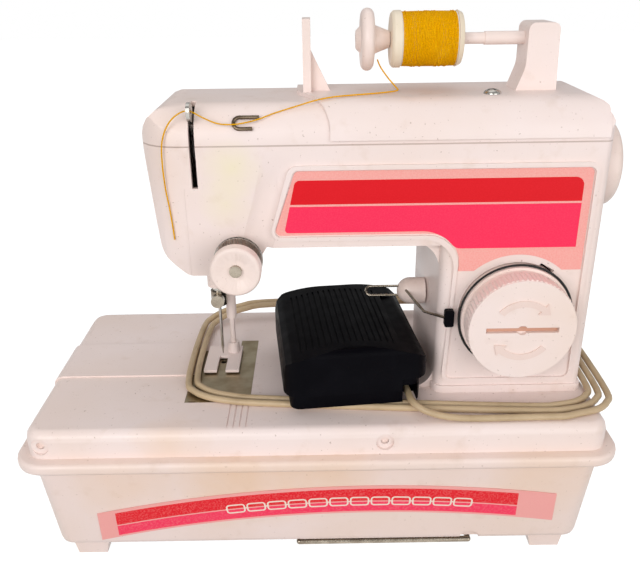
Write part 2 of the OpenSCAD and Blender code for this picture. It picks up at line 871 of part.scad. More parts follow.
module arm_body() {
  color(shell_colour)
  above_deck()
  difference() {
    union() {
      difference() {
        union() {
          arm_block(0);
          plan_prism(pillar_plan(0), 0, arm_floor + wall);
          plan_prism(pillar_plan(-plinth_out), 0, plinth_h);
          fillet_prism(pillar_front_x, arm_floor, throat_r, -1);
          fillet_prism(pillar_front_x, 0, skirt_r, 1);
        }
        arm_block(wall);
        plan_prism(pillar_plan(wall), -cut, arm_floor + wall + cut);
        translate([needle_x + (frame_left_top + frame_left_low) / 2 - flute_r / 3,
           -arm_y - flute_r + flute_depth,
           (frame_top + frame_low) / 2])
          rotate([0, atan2(frame_left_top - frame_left_low, frame_top - frame_low), 0])
            cylinder(r = flute_r, h = frame_top - frame_low + throat_r, center = true);
      }
      bulkhead(bulk_x, bulk_t, 0);
      bulkhead(motor_wall_x, motor_wall_t, arm_floor + wall / 2);
      block([motor_wall_x, -arm_y + wall / 2, motor_z - motor_wall_drop],
         [motor_wall_x + motor_wall_t, arm_y - wall / 2, arm_floor + 2 * wall]);
      front_prism(frame_outline(0), -arm_y - frame_h, -arm_y + wall / 2);
      rod_y(-arm_y, housing_y1 + wall, cap_x, cap_z, housing_r);
      rod_z(boss_bottom, head_bottom + wall, needle_x, 0, boss_r);
      rod_y(-arm_y - tension_boss_h, -arm_y + wall, knob_x, knob_z, tension_boss_r);
      rod_x(wall_x - hub_pin_l, wall_x + wall, lever_y, lever_z, hub_pin_r);
    }
    front_prism(frame_outline(frame_w), -arm_d, -arm_y);
    block([head_left - cut, -arm_d, parting_z], [arm_right + cut, arm_d, arm_top + cut]);
    face_zone(0);
    take_up_slot();
    rod_x(bulk_x - cut, bulk_x + bulk_t + cut, 0, shaft_z, bush_r + fit_gap);
    rod_x(arm_right - 2 * wall, arm_right + cut, 0, shaft_z, bush_r + fit_gap);
    rod_x(motor_wall_x - cut, motor_wall_x + motor_wall_t + cut, 0, shaft_z, gear_hub_r + clear_gap);
    rod_x(motor_wall_x - cut, motor_wall_x + motor_wall_t + cut, 0, motor_z, motor_boss_r + fit_gap);
    rod_y(-arm_d, housing_y1, cap_x, cap_z, cap_hole_r);
    rod_y(cap_back_y - bayonet_t / 2 - lug_t / 2, cap_back_y + bayonet_t / 2 - lug_t / 2, cap_x,
       cap_z, cap_hole_r + bayonet_depth);
    for (s = [0, 1])
      translate([cap_x, 0, cap_z])
        rotate([0, lug_turn + 180 * s, 0])
          block([0, -arm_d, -lug_w / 2 - clear_gap],
             [cap_hole_r + bayonet_depth, cap_back_y, lug_w / 2 + clear_gap]);
    rod_z(boss_bottom - cut, bracket_z, needle_x, 0, bar_r + run_gap);
    rod_z(0, head_bottom + 2 * wall, presser_x, presser_y, presser_r + run_gap);
    rod_y(arm_y - 2 * wall, arm_d, presser_x, lift_z, lift_r + run_gap);
    rod_y(-arm_d, -arm_y + 2 * wall, knob_x, knob_z, stud_r + fit_gap);
    rod_y(arm_y - 2 * wall, arm_d, gland_x, gland_z, gland_tip_r + fit_gap);
    for (sy = [-1, 1])
      rod_z(-cut, arm_floor, pulley_x + pulley_t / 2, sy * belt_path_r, belt_r + 2 * clear_gap);
  }
}

module arm_lid() {
  color(shell_colour)
  above_deck()
  difference() {
    union() {
      difference() {
        arm_block(0);
        arm_block(wall);
      }
      intersection() {
        arm_block(wall / 2);
        rod_z(parting_z + wall, arm_top, arm_right - screw_x, screw_y, post_r);
      }
    }
    block([head_left - cut, -arm_d, -cut], [arm_right + cut, arm_d, parting_z]);
    take_up_slot();
    rod_z(parting_z, arm_top + cut, arm_right - screw_x, screw_y, screw_r + fit_gap);
  }
}

module face_cover() {
  color(shell_colour)
  above_deck()
  difference() {
    intersection() {
      arm_block(0);
      face_zone(-fit_gap);
    }
    arm_block(wall);
  }
}

fin_left = needle_x + fin_x;
post_x0 = arm_right - post_left;
post_x1 = arm_right - post_right;

module top_cover() {
  color(shell_colour)
  above_deck()
  difference() {
    union() {
      difference() {
        intersection() {
          arm_block(-cover_t);
          plan_prism(soft([
            [needle_x + cover_left, arm_d, 0], [needle_x + cover_left, 0, cover_sweep_r],
            [needle_x + cover_left + cover_sweep, -arm_y, 0],
            [needle_x + cover_left + cover_sweep, -arm_d, 0],
            [arm_right - cover_right_gap, -arm_d, 0], [arm_right - cover_right_gap, arm_d, 0]
          ]), cover_low, arm_top + 2 * cover_t);
        }
        arm_block(0);
      }
      block([fin_left, -fin_half_d, arm_top + cover_t / 2],
         [fin_left + fin_t, fin_half_d, fin_top]);
      front_prism([
        [fin_left + fin_t / 2, arm_top + cover_t / 2],
        [fin_left + fin_t + gusset_l, arm_top + cover_t / 2],
        [fin_left + fin_t, gusset_z], [fin_left + fin_t / 2, gusset_z]
      ], -gusset_t / 2, gusset_t / 2);
      front_prism(soft([
        [post_x0, post_top, post_edge_r], [post_x1, post_top, post_edge_r],
        [post_x1 + post_flare / 4, arm_top + cover_t / 2, 0],
        [post_x0 - post_flare, arm_top + cover_t / 2, 0],
        [post_x0, (spool_z + arm_top) / 2, throat_r]
      ]), -post_half_d, post_half_d);
    }
    rod_x(post_x0 - cut, post_x0 + pin_grip, 0, spool_z, pin_r + fit_gap);
    rod_z(arm_top - cut, arm_top + 2 * cover_t, arm_right - screw_x, screw_y, screw_r + fit_gap);
  }
}

module cover_screw() {
  color(steel_colour)
  above_deck()
  translate([arm_right - screw_x, screw_y, arm_top + cover_t])
    rotate_extrude()
      polygon(concat(
        [[0, -screw_l / 3], [screw_r, -screw_l / 3], [screw_r, 0], [dome_r, 0]],
        [for (i = [1:corner_steps]) let (t = 90 * i / corner_steps) [dome_r * cos(t),
           dome_h * sin(t)]]
      ));
}

module front_label() {
  color(red_colour)
  above_deck()
  difference() {
    front_prism(frame_outline(frame_w + label_gap), -arm_y - label_t, -arm_y);
    rod_y(-arm_d, 0, cap_x, cap_z, label_cap_r);
    block([pillar_front_x - throat_r, -arm_d, 0], [arm_right, 0, label_low]);
    rod_y(-arm_d, 0, knob_x, knob_z, tension_boss_r + clear_gap);
  }
}

label_left = -111;
label_right = 119;
label_peak_x = 26;
label_peak_drop = 14.5;
label_arc_r = 600;
label_h = 17.6;
lean_angle = atan(tub_lean / tub_h);

// The sticker follows the lean of the tub's front wall
module base_label() {
  color(red_colour)
  translate([0, -deck_d / 2 + tub_inset, rim_bottom])
    rotate([lean_angle, 0, 0])
      translate([0, -fit_gap, 0])
        rotate([90, 0, 0])
          linear_extrude(label_t)
            intersection() {
              difference() {
                translate([label_peak_x, -label_peak_drop - label_arc_r])
                  circle(label_arc_r);
                translate([label_peak_x, -label_peak_drop - label_arc_r])
                  circle(label_arc_r - label_h);
              }
              translate([label_left, -tub_h])
                square([label_right - label_left, tub_h]);
            }
}

module flanged_bush(x, t, z, dir) {
  difference() {
    union() {
      rod_x(x, x + t, 0, z, bush_r);
      rod_x(dir < 0 ? x - bush_flange_t : x + t, dir < 0 ? x : x + t + bush_flange_t, 0, z,
         bush_flange_r);
    }
    rod_x(x - cut, x + t + cut, 0, z, shaft_r + run_gap);
  }
}

module shaft_bushes() {
  color(brass_colour)
  above_deck() {
    flanged_bush(bulk_x, bulk_t, shaft_z, -1);
    flanged_bush(arm_right - wall, wall, shaft_z, -1);
    for (x = hanger_xs)
      flanged_bush(x, hanger_t, lower_z, 1);
  }
}

module main_shaft() {
  color(steel_colour)
  above_deck()
  rod_x(crank_x, wheel_end - wheel_edge_r, 0, shaft_z, shaft_r);
}

module hand_wheel() {
  x0 = arm_right + wheel_gap;
  color(shell_colour)
  above_deck()
  difference() {
    translate([x0, 0, shaft_z])
      rotate([0, 90, 0])
        rotate_extrude()
          polygon(soft([
            [0, 0, 0], [wheel_r, 0, wheel_edge_r / 2],
            [wheel_r, wheel_end - x0, wheel_edge_r], [0, wheel_end - x0, 0]
          ]));
    rod_x(x0 - cut, wheel_end - wheel_edge_r + fit_gap, 0, shaft_z, shaft_r + fit_gap);
  }
}

module crank_disc() {
  color(steel_colour)
  above_deck()
  difference() {
    union() {
      rod_x(crank_x, crank_x + crank_t, 0, shaft_z, crank_r);
      rod_x(needle_x + yoke_face + clear_gap, crank_x + cut, 0, shaft_z + stroke / 2, crank_pin_r);
    }
    rod_x(crank_x - cut, crank_x + crank_t + cut, 0, shaft_z, shaft_r + fit_gap);
  }
}

// Outline of a gear with straight-sided teeth
function gear_outline(n) = [
  for (i = [0:n - 1], k = [0:3])
    let (
      pitch = tooth_module * n / 2,
      low = pitch - tooth_root_share * tooth_module,
      high = pitch + tooth_tip_share * tooth_module,
      r = k == 0 || k == 3 ? low : high,
      t = 360 * (i + tooth_shares[k]) / n
    )
    r * [cos(t), sin(t)]
];

module grooved_pulley(x, z) {
  difference() {
    rod_x(x, x + pulley_t, 0, z, pulley_r);
    translate([x + pulley_t / 2, 0, z])
      rotate([0, 90, 0])
        rotate_extrude()
          translate([belt_path_r, 0])
            union() {
              circle(belt_r + clear_gap);
              translate([0, -belt_r - clear_gap])
                square([pulley_r, 2 * (belt_r + clear_gap)]);
            }
  }
}

module drive_gear() {
  color("white")
  above_deck()
  difference() {
    union() {
      translate([0, 0, shaft_z])
        side_prism(gear_outline(gear_teeth), gear_x, gear_x + gear_t);
      rod_x(gear_x, pulley_x, 0, shaft_z, gear_hub_r);
      grooved_pulley(pulley_x, shaft_z);
    }
    rod_x(gear_x - cut, pulley_x + pulley_t + cut, 0, shaft_z, shaft_r + fit_gap);
  }
}

module motor() {
  color(steel_colour)
  above_deck()
  difference() {
    union() {
      rod_x(motor_wall_x - motor_l, motor_wall_x, 0, motor_z, motor_r);
      rod_x(motor_wall_x - cut, motor_wall_x + motor_wall_t, 0, motor_z, motor_boss_r);
    }
    rod_x(motor_wall_x - motor_l / 2, motor_wall_x + motor_wall_t + cut, 0, motor_z,
       motor_shaft_r + run_gap);
  }
}

module motor_pinion() {
  color("white")
  above_deck()
  union() {
    translate([0, 0, motor_z])
      side_prism(gear_outline(pinion_teeth), gear_x, gear_x + gear_t);
    rod_x(motor_wall_x - motor_l / 2 + cut, gear_x + cut, 0, motor_z, motor_shaft_r);
  }
}

module drive_belt() {
  color(black_colour)
  above_deck()
  translate([pulley_x + pulley_t / 2, 0, 0])
    union() {
      for (end = [[shaft_z, 0], [lower_z, 180]])
        translate([0, 0, end[0]])
          rotate([end[1], 0, 0])
            rotate([90, 0, 90])
              rotate_extrude(angle = 180)
                translate([belt_path_r, 0])
                  circle(belt_r);
      for (sy = [-1, 1])
        rod_z(lower_z, shaft_z, 0, sy * belt_path_r, belt_r);
    }
}

module lower_shaft() {
  color(steel_colour)
  above_deck()
  union() {
    rod_x(looper_x + looper_t / 2, pulley_x + pulley_t, 0, lower_z, shaft_r);
    rod_x(cam_x, cam_x + cam_t, 0, lower_z + cam_off, cam_r);
  }
}

module lower_pulley() {
  color("white")
  above_deck()
  difference() {
    grooved_pulley(pulley_x, lower_z);
    rod_x(pulley_x - cut, pulley_x + pulley_t + cut, 0, lower_z, shaft_r + fit_gap);
  }
}

// A turning hook that catches the loop of thread below the plate
module looper() {
  color(steel_colour)
  above_deck()
  translate([0, 0, lower_z])
    difference() {
      union() {
        rod_x(looper_x, looper_x + looper_t, 0, 0, shaft_r + wall);
        difference() {
          rod_x(looper_x, looper_x + looper_t, 0, 0, looper_r);
          rod_x(looper_x - cut, looper_x + looper_t + cut, looper_r / 4, looper_r / 4,
             looper_r * 3 / 4);
        }
      }
      rod_x(looper_x + looper_t / 2, looper_x + looper_t + cut, 0, 0, shaft_r + fit_gap);
    }
}

module feed_dog() {
  bar_z0 = feed_bar_top - feed_bar_h - deck_t;
  tongue_z1 = feed_bar_top - deck_t;
  leg_y = cam_r + cam_off + feed_travel + 2 * clear_gap;
  tooth_half_l = feed_slot_l / 2 - feed_travel - clear_gap;
  color(steel_colour)
  above_deck()
  union() {
    for (s = [-1, 1]) {
      difference() {
        block([needle_x + s * feed_slot_offset - feed_slot_w / 2 + clear_gap, -tooth_half_l,
           bar_z0],
           [needle_x + s * feed_slot_offset + feed_slot_w / 2 - clear_gap, tooth_half_l,
           feed_top]);
        for (k = [-2:2])
          translate([needle_x + s * feed_slot_offset, k * tooth_half_l * 2 / 5, feed_top])
            rotate([45, 0, 0])
              cube([feed_slot_w, feed_top, feed_top], center = true);
      }
      block([cam_x, min(s * leg_y, s * (leg_y + feed_leg_t)), lower_z],
         [cam_x + cam_t, max(s * leg_y, s * (leg_y + feed_leg_t)), tongue_z1]);
    }
    block([needle_x - feed_slot_offset, -feed_bar_half_d, bar_z0],
       [needle_x - needle_hole_r, -feed_bar_half_d + feed_leg_t, tongue_z1]);
    block([needle_x - feed_slot_offset, feed_bar_half_d - feed_leg_t, bar_z0],
       [needle_x + feed_slot_offset, feed_bar_half_d, tongue_z1]);
    block([needle_x - needle_hole_r - cut, -feed_bar_half_d, bar_z0],
       [needle_x + feed_slot_offset, -feed_bar_half_d + feed_leg_t, tongue_z1]);
    block([needle_x + feed_slot_offset - feed_slot_w / 4, -feed_bar_half_d,
       tongue_z1 - feed_tongue_h],
       [hanger_xs[0] + hanger_t + cut, feed_bar_half_d, tongue_z1]);
    block([cam_x, -leg_y - feed_leg_t, tongue_z1 - feed_tongue_h],
       [cam_x + cam_t, leg_y + feed_leg_t, tongue_z1]);
  }
}

module head_bracket() {
  color(steel_colour)
  above_deck()
  difference() {
    union() {
      block([needle_x - boss_r, -bracket_half_d, bracket_z],
         [bulk_x, bracket_back, bracket_z + bracket_t]);
      block([bulk_x - bracket_t / 2, -bracket_half_d, bracket_z - bracket_flange],
         [bulk_x, bracket_back, bracket_z + bracket_flange]);
    }
    rod_z(0, arm_top, needle_x, 0, bar_r + run_gap);
    rod_z(0, arm_top, presser_x, presser_y, presser_thin_r + run_gap);
  }
}

module needle_bar() {
  color(steel_colour)
  above_deck()
  difference() {
    rod_z(bar_bottom, bar_top, needle_x, 0, bar_r);
    rod_z(bar_bottom - cut, bar_bottom + needle_grip, needle_x, 0, needle_r + fit_gap);
    rod_y(-arm_d, 0, needle_x, bar_bottom + clamp_h / 2, clamp_pin_r + fit_gap);
  }
}

yoke_z = shaft_z + stroke / 2;

// A cross slide on the needle bar that the crank pin drives
module needle_yoke() {
  color(steel_colour)
  above_deck()
  difference() {
    block([needle_x - yoke_back, -yoke_half_d, yoke_z - yoke_h / 2],
       [needle_x + yoke_face, yoke_half_d, yoke_z + yoke_h / 2]);
    rod_z(0, arm_top, needle_x, 0, bar_r + fit_gap);
    rod_z(0, arm_top, presser_x, presser_y, presser_thin_r + 2 * clear_gap);
    block([needle_x + bar_r + wall / 2, -yoke_half_d + wall, yoke_z - crank_pin_r - clear_gap],
       [needle_x + yoke_face + cut, yoke_half_d - wall, yoke_z + crank_pin_r + clear_gap]);
  }
}

take_up_eye_out = 0.4;
take_up_eye_drop = 1.2;
take_up_eye = [-arm_y - take_up_eye_out, arm_top - take_up_eye_drop];

module take_up_arm() {
  tip = take_up_eye.x - take_up_tip_r;
  color(steel_colour)
  above_deck()
  difference() {
    side_prism(soft([
      [-yoke_half_d, yoke_z - yoke_h / 3, 0], [-yoke_half_d, yoke_z + yoke_h / 3, 0],
      [take_up_eye.x + take_up_tip_r, take_up_eye.y + take_up_tip_r, take_up_tip_r],
      [tip, take_up_eye.y + take_up_tip_r, take_up_tip_r - fit_gap],
      [tip, take_up_eye.y - take_up_tip_r, take_up_tip_r - fit_gap],
      [take_up_eye.x + take_up_tip_r, take_up_eye.y - take_up_tip_r - wall, take_up_tip_r]
    ]), slot_x - take_up_t / 2, slot_x + take_up_t / 2);
    rod_x(slot_x - slot_w, slot_x + slot_w, take_up_eye.x, take_up_eye.y, take_up_eye_r);
  }
}

module needle_clamp() {
  color(steel_colour)
  above_deck()
  difference() {
    rod_z(bar_bottom, bar_bottom + clamp_h, needle_x, 0, clamp_r);
    rod_z(bar_bottom - cut, bar_bottom + clamp_h + cut, needle_x, 0, bar_r + fit_gap);
    rod_y(-arm_d, 0, needle_x, bar_bottom + clamp_h / 2, clamp_pin_r + fit_gap);
  }
}

module clamp_screw() {
  color(steel_colour)
  above_deck()
  union() {
    rod_y(-clamp_r - clamp_screw_t - fit_gap, -clamp_r - fit_gap, needle_x, bar_bottom + clamp_h / 2,
       clamp_screw_r);
    rod_y(-clamp_r - cut, -needle_r - fit_gap, needle_x, bar_bottom + clamp_h / 2, clamp_pin_r);
  }
}

module needle() {
  color(steel_colour)
  above_deck()
  translate([needle_x, 0, needle_tip_z])
    rotate_extrude()
      polygon([
        [0, 0], [needle_r / 4, needle_r / 4], [needle_r, needle_point],
        [needle_r, bar_bottom + needle_grip - needle_tip_z - fit_gap],
        [0, bar_bottom + needle_grip - needle_tip_z - fit_gap]
      ]);
}

finger_z = lift_z + lift_r + clear_gap;

module presser_bar() {
  color(shell_colour)
  above_deck()
  union() {
    rod_z(presser_step_z, finger_z + finger_h, presser_x, presser_y, presser_r);
    rod_z(foot_sole_z + foot_sole_t, bracket_z + bracket_t, presser_x, presser_y, presser_thin_r);
    block([presser_x - finger_half_w, presser_y, finger_z],
       [presser_x + finger_half_w, presser_y + finger_y, finger_z + finger_h]);
  }
}

module presser_spring() {
  color(steel_colour)
  above_deck()
  translate([presser_x, presser_y, finger_z + finger_h + fit_gap])
    tube(spring_path(presser_thin_r + 2 * wire_thin_r, wire_thin_r,
       bracket_z - finger_z - finger_h - 2 * fit_gap, 4), wire_thin_r, 6);
}

module presser_foot() {
  color(shell_colour)
  above_deck()
  difference() {
    union() {
      block([needle_x - foot_left, -foot_front, foot_sole_z],
         [needle_x + foot_right, foot_back, foot_sole_z + foot_sole_t]);
      rod_z(foot_sole_z, foot_sole_z + foot_hub_h, presser_x, presser_y, foot_hub_r);
    }
    block([needle_x - foot_slot_w / 2, -foot_front - cut, 0],
       [needle_x + foot_slot_w / 2, presser_y - foot_hub_r - wall, foot_hub_h]);
    rod_z(foot_sole_z + foot_sole_t, foot_sole_z + foot_hub_h + cut, presser_x, presser_y,
       presser_thin_r + fit_gap);
    translate([needle_x, -foot_front, foot_sole_z])
      rotate([-30, 0, 0])
        block([-foot_left - cut, -foot_sole_t, -foot_sole_t], [foot_right + cut, foot_sole_t, 0]);
  }
}

// The lifter: a lobe under the finger of the presser bar and a handle behind the head
module presser_lever() {
  lobe_y0 = presser_y + presser_r + clear_gap;
  lobe_y1 = presser_y + finger_y;
  out_y = arm_y + clear_gap;
  color(shell_colour)
  above_deck()
  union() {
    rod_y(lobe_y0, out_y + handle_t, presser_x, lift_z, lift_r);
    front_prism([
      [presser_x, lift_z - lift_r], [presser_x + lobe_reach, lift_z - lobe_r],
      [presser_x + lobe_reach, lift_z + lobe_r], [presser_x, lift_z + lift_r]
    ], lobe_y0, lobe_y1);
    rod_y(lobe_y0, lobe_y1, presser_x + lobe_reach, lift_z, lobe_r);
    front_prism(soft([
      [presser_x - handle_w / 2, lift_z - handle_w / 2, lift_r - fit_gap],
      [presser_x + handle_l, lift_z - handle_w / 2, lift_r - fit_gap],
      [presser_x + handle_l, lift_z + handle_w / 2, lift_r - fit_gap],
      [presser_x - handle_w / 2, lift_z + handle_w / 2, lift_r - fit_gap]
    ]), out_y, out_y + handle_t);
  }
}

boss_face = -arm_y - tension_boss_h;
knob_face = -arm_y - knob_front;
knob_back = knob_face + knob_t;
disc_front = boss_face - 2 * disc_t - disc_gap;

module tension_stud() {
  color(steel_colour)
  above_deck()
  union() {
    rod_y(knob_face + knob_dish - stud_head_h, -arm_y + 2 * wall, knob_x, knob_z, stud_r);
    rod_y(knob_face + knob_dish - stud_head_h, knob_face + knob_dish - fit_gap, knob_x, knob_z,
       stud_head_r);
  }
}

module tension_discs() {
  color(steel_colour)
  above_deck()
  for (y = [boss_face - disc_t, disc_front])
    difference() {
      rod_y(y, y + disc_t, knob_x, knob_z, disc_r);
      rod_y(y - cut, y + disc_t + cut, knob_x, knob_z, stud_r + fit_gap);
    }
}

module tension_spring() {
  color(steel_colour)
  above_deck()
  translate([knob_x, disc_front - fit_gap, knob_z])
    rotate([90, 0, 0])
      tube(spring_path(tension_spring_r, wire_thin_r, disc_front - knob_back - clear_gap, 3),
         wire_thin_r, 6);
}

module tension_knob() {
  color(shell_colour)
  above_deck()
  translate([knob_x, knob_back, knob_z])
    rotate([90, 0, 0])
      rotate_extrude()
        polygon([
          [stud_r + run_gap, 0], [knob_hub_r, 0], [knob_hub_r, knob_t / 4],
          [knob_r - knob_rim, knob_t / 4],
          [knob_r - knob_rim / 2, 0], [knob_r, knob_t / 4], [knob_r, knob_t - knob_rim / 2],
          [knob_r - knob_rim / 2, knob_t],
          [knob_r - knob_rim, knob_t], [knob_hub_r, knob_t - knob_dish],
          [stud_r + run_gap, knob_t - knob_dish]
        ]);
}

guide_offset = 22;
guide_x = needle_x + guide_offset;
guide_turn = 60;
guide_depth_share = 0.134;
guide_drop_share = 0.5;
guide_wire_r = 0.85;
guide_bend_r = 2.6;
guide_leg = 6;

// An open hook of wire on the front of the lid
module thread_guide() {
  color(steel_colour)
  above_deck()
  translate([guide_x, -arm_y + arm_edge_r * guide_depth_share, arm_top - arm_edge_r * guide_drop_share])
    rotate([guide_turn, 0, 0])
      union() {
        for (s = [-1, 1])
          rod_x(-guide_bend_r, s > 0 ? guide_leg : guide_leg / 2, s * guide_bend_r,
             guide_wire_r, guide_wire_r);
        translate([-guide_bend_r, 0, guide_wire_r])
          rotate([0, 0, 90])
            rotate_extrude(angle = 180)
              translate([guide_bend_r, 0])
                circle(guide_wire_r);
      }
}

spool_x1 = arm_right - spool_right;
spool_x0 = spool_x1 - spool_l;

module spool_pin() {
  color(shell_colour)
  above_deck()
  union() {
    rod_x(arm_right - pin_step, post_x0 + pin_grip, 0, spool_z, pin_r);
    rod_x(arm_right - pin_end, arm_right - pin_step + cut, 0, spool_z, pin_tip_r);
  }
}

module spool() {
  color("ivory")
  above_deck()
  translate([spool_x0, 0, spool_z])
    rotate([0, 90, 0])
      rotate_extrude()
        polygon([
          [spool_bore_r, 0], [spool_r - spool_end_right / 2, 0],
          [spool_r, spool_end_right / 2], [spool_r, spool_end_l],
          [spool_core_r, spool_end_l], [spool_core_r, spool_l - spool_end_right],
          [spool_r, spool_l - spool_end_right],
          [spool_r - spool_end_right / 2, spool_l], [spool_bore_r, spool_l]
        ]);
}

winding_x0 = spool_end_l + fit_gap;
winding_x1 = spool_l - spool_end_right - fit_gap;
winding_coil = [
  for (i = [0:winding_rings * winding_turns])
    let (t = 360 * i / winding_rings, along = i / (winding_rings * winding_turns))
    [(thread_r - strand_r) * cos(t), (thread_r - strand_r) * sin(t),
       winding_x0 + 2 * strand_r + (winding_x1 - winding_x0 - 4 * strand_r) * along]
];

winding_end = len(winding_coil) - 1;
winding_far = winding_coil[winding_end];
winding_path = concat(
  [winding_coil[0] - 2 * strand_r * unit(winding_coil[1] - winding_coil[0])],
  winding_coil,
  [winding_far + 2 * strand_r * unit(winding_far - winding_coil[winding_end - 1])]
);
echo("least gap of the winding", least_gap(winding_path, winding_rings, strand_r));

// The wound thread: a plain core, and the outer layer as one unbroken strand round it
module spool_thread() {
  color(yellow_colour)
  above_deck()
  translate([spool_x0, 0, spool_z])
    rotate([0, 90, 0])
      union() {
        difference() {
          translate([0, 0, winding_x0])
            cylinder(r = thread_r - core_under, h = winding_x1 - winding_x0);
          translate([0, 0, -cut])
            cylinder(r = spool_core_r + fit_gap, h = spool_l);
        }
        tube(winding_path, strand_r, 6);
      }
}

module spool_cap() {
  x1 = spool_x0 - spool_gap;
  l = end_cap_hub + end_cap_t + end_cap_tip_l;
  color(shell_colour)
  above_deck()
  difference() {
    translate([x1 - l, 0, spool_z])
      rotate([0, 90, 0])
        rotate_extrude()
          polygon(soft([
            [0, 0, 0], [end_cap_hub_r, 0, 0], [end_cap_hub_r + end_cap_hub, end_cap_hub, 0],
            [end_cap_r, end_cap_hub, end_cap_t / 2 - fit_gap],
            [end_cap_r, end_cap_hub + end_cap_t, end_cap_t / 2 - fit_gap],
            [end_cap_neck_r, end_cap_hub + end_cap_t, 0], [end_cap_tip_r, l, 0], [0, l, 0]
          ]));
    rod_x(x1 - end_cap_bore, x1 + cut, 0, spool_z, pin_tip_r + run_gap);
  }
}

module thread() {
  color(yellow_colour)
  above_deck()
  tube(strand_route, strand_r, route_sides, [0, 1, 0.2]);
}

cap_front_y = -arm_y - cap_out;

module battery_cap() {
  knurl = [
    for (i = [0:2 * knurl_count - 1])
      (cap_r - (i % 2) * knurl_depth) * [cos(180 * i / knurl_count), sin(180 * i / knurl_count)]
  ];
  color(shell_colour)
  above_deck()
  translate([cap_x, 0, cap_z])
    difference() {
      union() {
        front_prism(knurl, cap_front_y + cap_wall / 4, cap_front_y + knurl_l);
        rod_y(cap_front_y, cap_back_y, 0, 0, cap_r - knurl_depth);
        rod_y(-arm_y - cap_plug, cap_back_y, 0, 0, cap_plug_r);
        intersection() {
          rod_y(cap_back_y - lug_t, cap_back_y, 0, 0, cap_hole_r + bayonet_depth - clear_gap);
          block([-housing_r, cap_back_y - lug_t, -lug_w / 2],
             [housing_r, cap_back_y, lug_w / 2]);
        }
      }
      rod_y(cap_front_y + cap_wall + coin_depth, cap_back_y - contact_t - wall, 0, 0,
         cap_r - 2 * cap_wall);
      block([-coin_l / 2, cap_front_y - cut, -coin_w / 2],
         [coin_l / 2, cap_front_y + coin_depth, coin_w / 2]);
      rod_y(cap_front_y - cut, cap_front_y + coin_depth, 0, 0, coin_nick_r);
    }
}

module cap_contact() {
  color(brass_colour)
  above_deck()
  rod_y(cap_back_y, cap_back_y + contact_t, cap_x, cap_z, cap_plug_r - cap_wall);
}

module battery_cells() {
  color("gray")
  above_deck()
  for (s = [-1, 1])
    translate([cap_x + s * (cell_r + fit_gap), 0, cap_z])
      union() {
        rod_y(s < 0 ? cells_y0 : cells_y0 + cell_nub_h, s < 0 ? cells_y1 - cell_nub_h : cells_y1,
           0, 0, cell_r);
        rod_y(cells_y0, cells_y1, 0, 0, cell_nub_r);
      }
}

module battery_contacts() {
  color(brass_colour)
  above_deck()
  for (s = [-1, 1])
    rod_y(housing_y1 - contact_t, housing_y1, cap_x + s * cell_r, cap_z, cell_r / 2);
}

hub_x0 = wall_x - hub_out;
wire_root = [hub_x0 + hub_r / 2 - lever_wire_r, lever_y, lever_z + hairpin_half];

module lever_hub() {
  color(shell_colour)
  above_deck()
  difference() {
    translate([hub_x0, lever_y, lever_z])
      rotate([0, 90, 0])
        rotate_extrude()
          polygon(soft([
            [0, 0, 0], [hub_r, 0, hub_r - fit_gap], [hub_r, hub_out - 2 * clear_gap, 0],
            [0, hub_out - 2 * clear_gap, 0]
          ]));
    rod_x(wall_x - hub_pin_l - clear_gap, wall_x + cut, lever_y, lever_z, hub_pin_r + run_gap);
    for (s = [-1, 1])
      rod_x(hub_x0 - cut, hub_x0 + hub_r / 2, lever_y, lever_z + s * hairpin_half,
         lever_wire_r + fit_gap);
    link(wire_root, arm_bend, lever_wire_r + fit_gap);
  }
}

hairpin_x = hub_x0 - hairpin_l + hub_r / 2 + hairpin_half;
// One wire: out of the hub, round the hairpin, back through the hub and along to the shoe
lever_path = concat(
  [[hub_x0 + hub_r / 2, lever_y, lever_z - hairpin_half]],
  [
    for (t = [270:-30:90])
      [hairpin_x + hairpin_half * cos(t), lever_y, lever_z + hairpin_half * sin(t)]
  ],
  [wire_root, arm_bend, arm_tip]
);

module lever_wire() {
  color(steel_colour)
  above_deck()
  tube(lever_path, lever_wire_r, 8, [1, 1, 1]);
}

module lever_shoe() {
  color(black_colour)
  above_deck()
  difference() {
    front_prism(soft([
      [arm_tip.x - cut, arm_tip.z - shoe_h / 2, cut],
      [arm_tip.x + shoe_w - cut, arm_tip.z - shoe_h / 2, cut],
      [arm_tip.x + shoe_w - cut, arm_tip.z + shoe_h / 2, cut],
      [arm_tip.x - cut, arm_tip.z + shoe_h / 2, cut]
    ]), arm_tip.y - shoe_t / 2, arm_tip.y + shoe_t / 2);
    link(arm_bend, arm_tip, lever_wire_r + fit_gap);
  }
}

// A wire bow that folds under the tub
module carry_bail() {
  color(steel_colour)
  union() {
    rod_x(bail_left, bail_right, -bail_front, bail_z, bail_r);
    for (s = [[bail_left, 1], [bail_right, -1]]) {
      translate([s[0], -bail_front, bail_z])
        sphere(bail_r);
      rod_y(-bail_front, -bail_back, s[0], bail_z, bail_r);
      translate([s[0], -bail_back, bail_z])
        sphere(bail_r);
      rod_x(min(s[0], s[0] + s[1] * (bail_pin_l + bail_r)),
         max(s[0], s[0] + s[1] * (bail_pin_l + bail_r)), -bail_back, bail_z, bail_r);
    }
  }
}

// The pedal's own frame: its front left corner, turned on the deck
module pedal_frame() {
  above_deck()
  translate([pedal_at.x, pedal_at.y, pedal_lift])
    rotate([0, 0, pedal_turn])
      children();
}

function crown(x) = pedal_side_h + (pedal_h - pedal_side_h) * sin(180 * x / pedal_w);

// Rounded plan of the pedal, shrunk by a wall
function pedal_plan(i) = soft([
  [i, i, pedal_plan_r - i], [pedal_w - i, i, pedal_plan_r - i],
  [pedal_w - i, pedal_d - i, pedal_plan_r - i], [i, pedal_d - i, pedal_plan_r - i]
]);

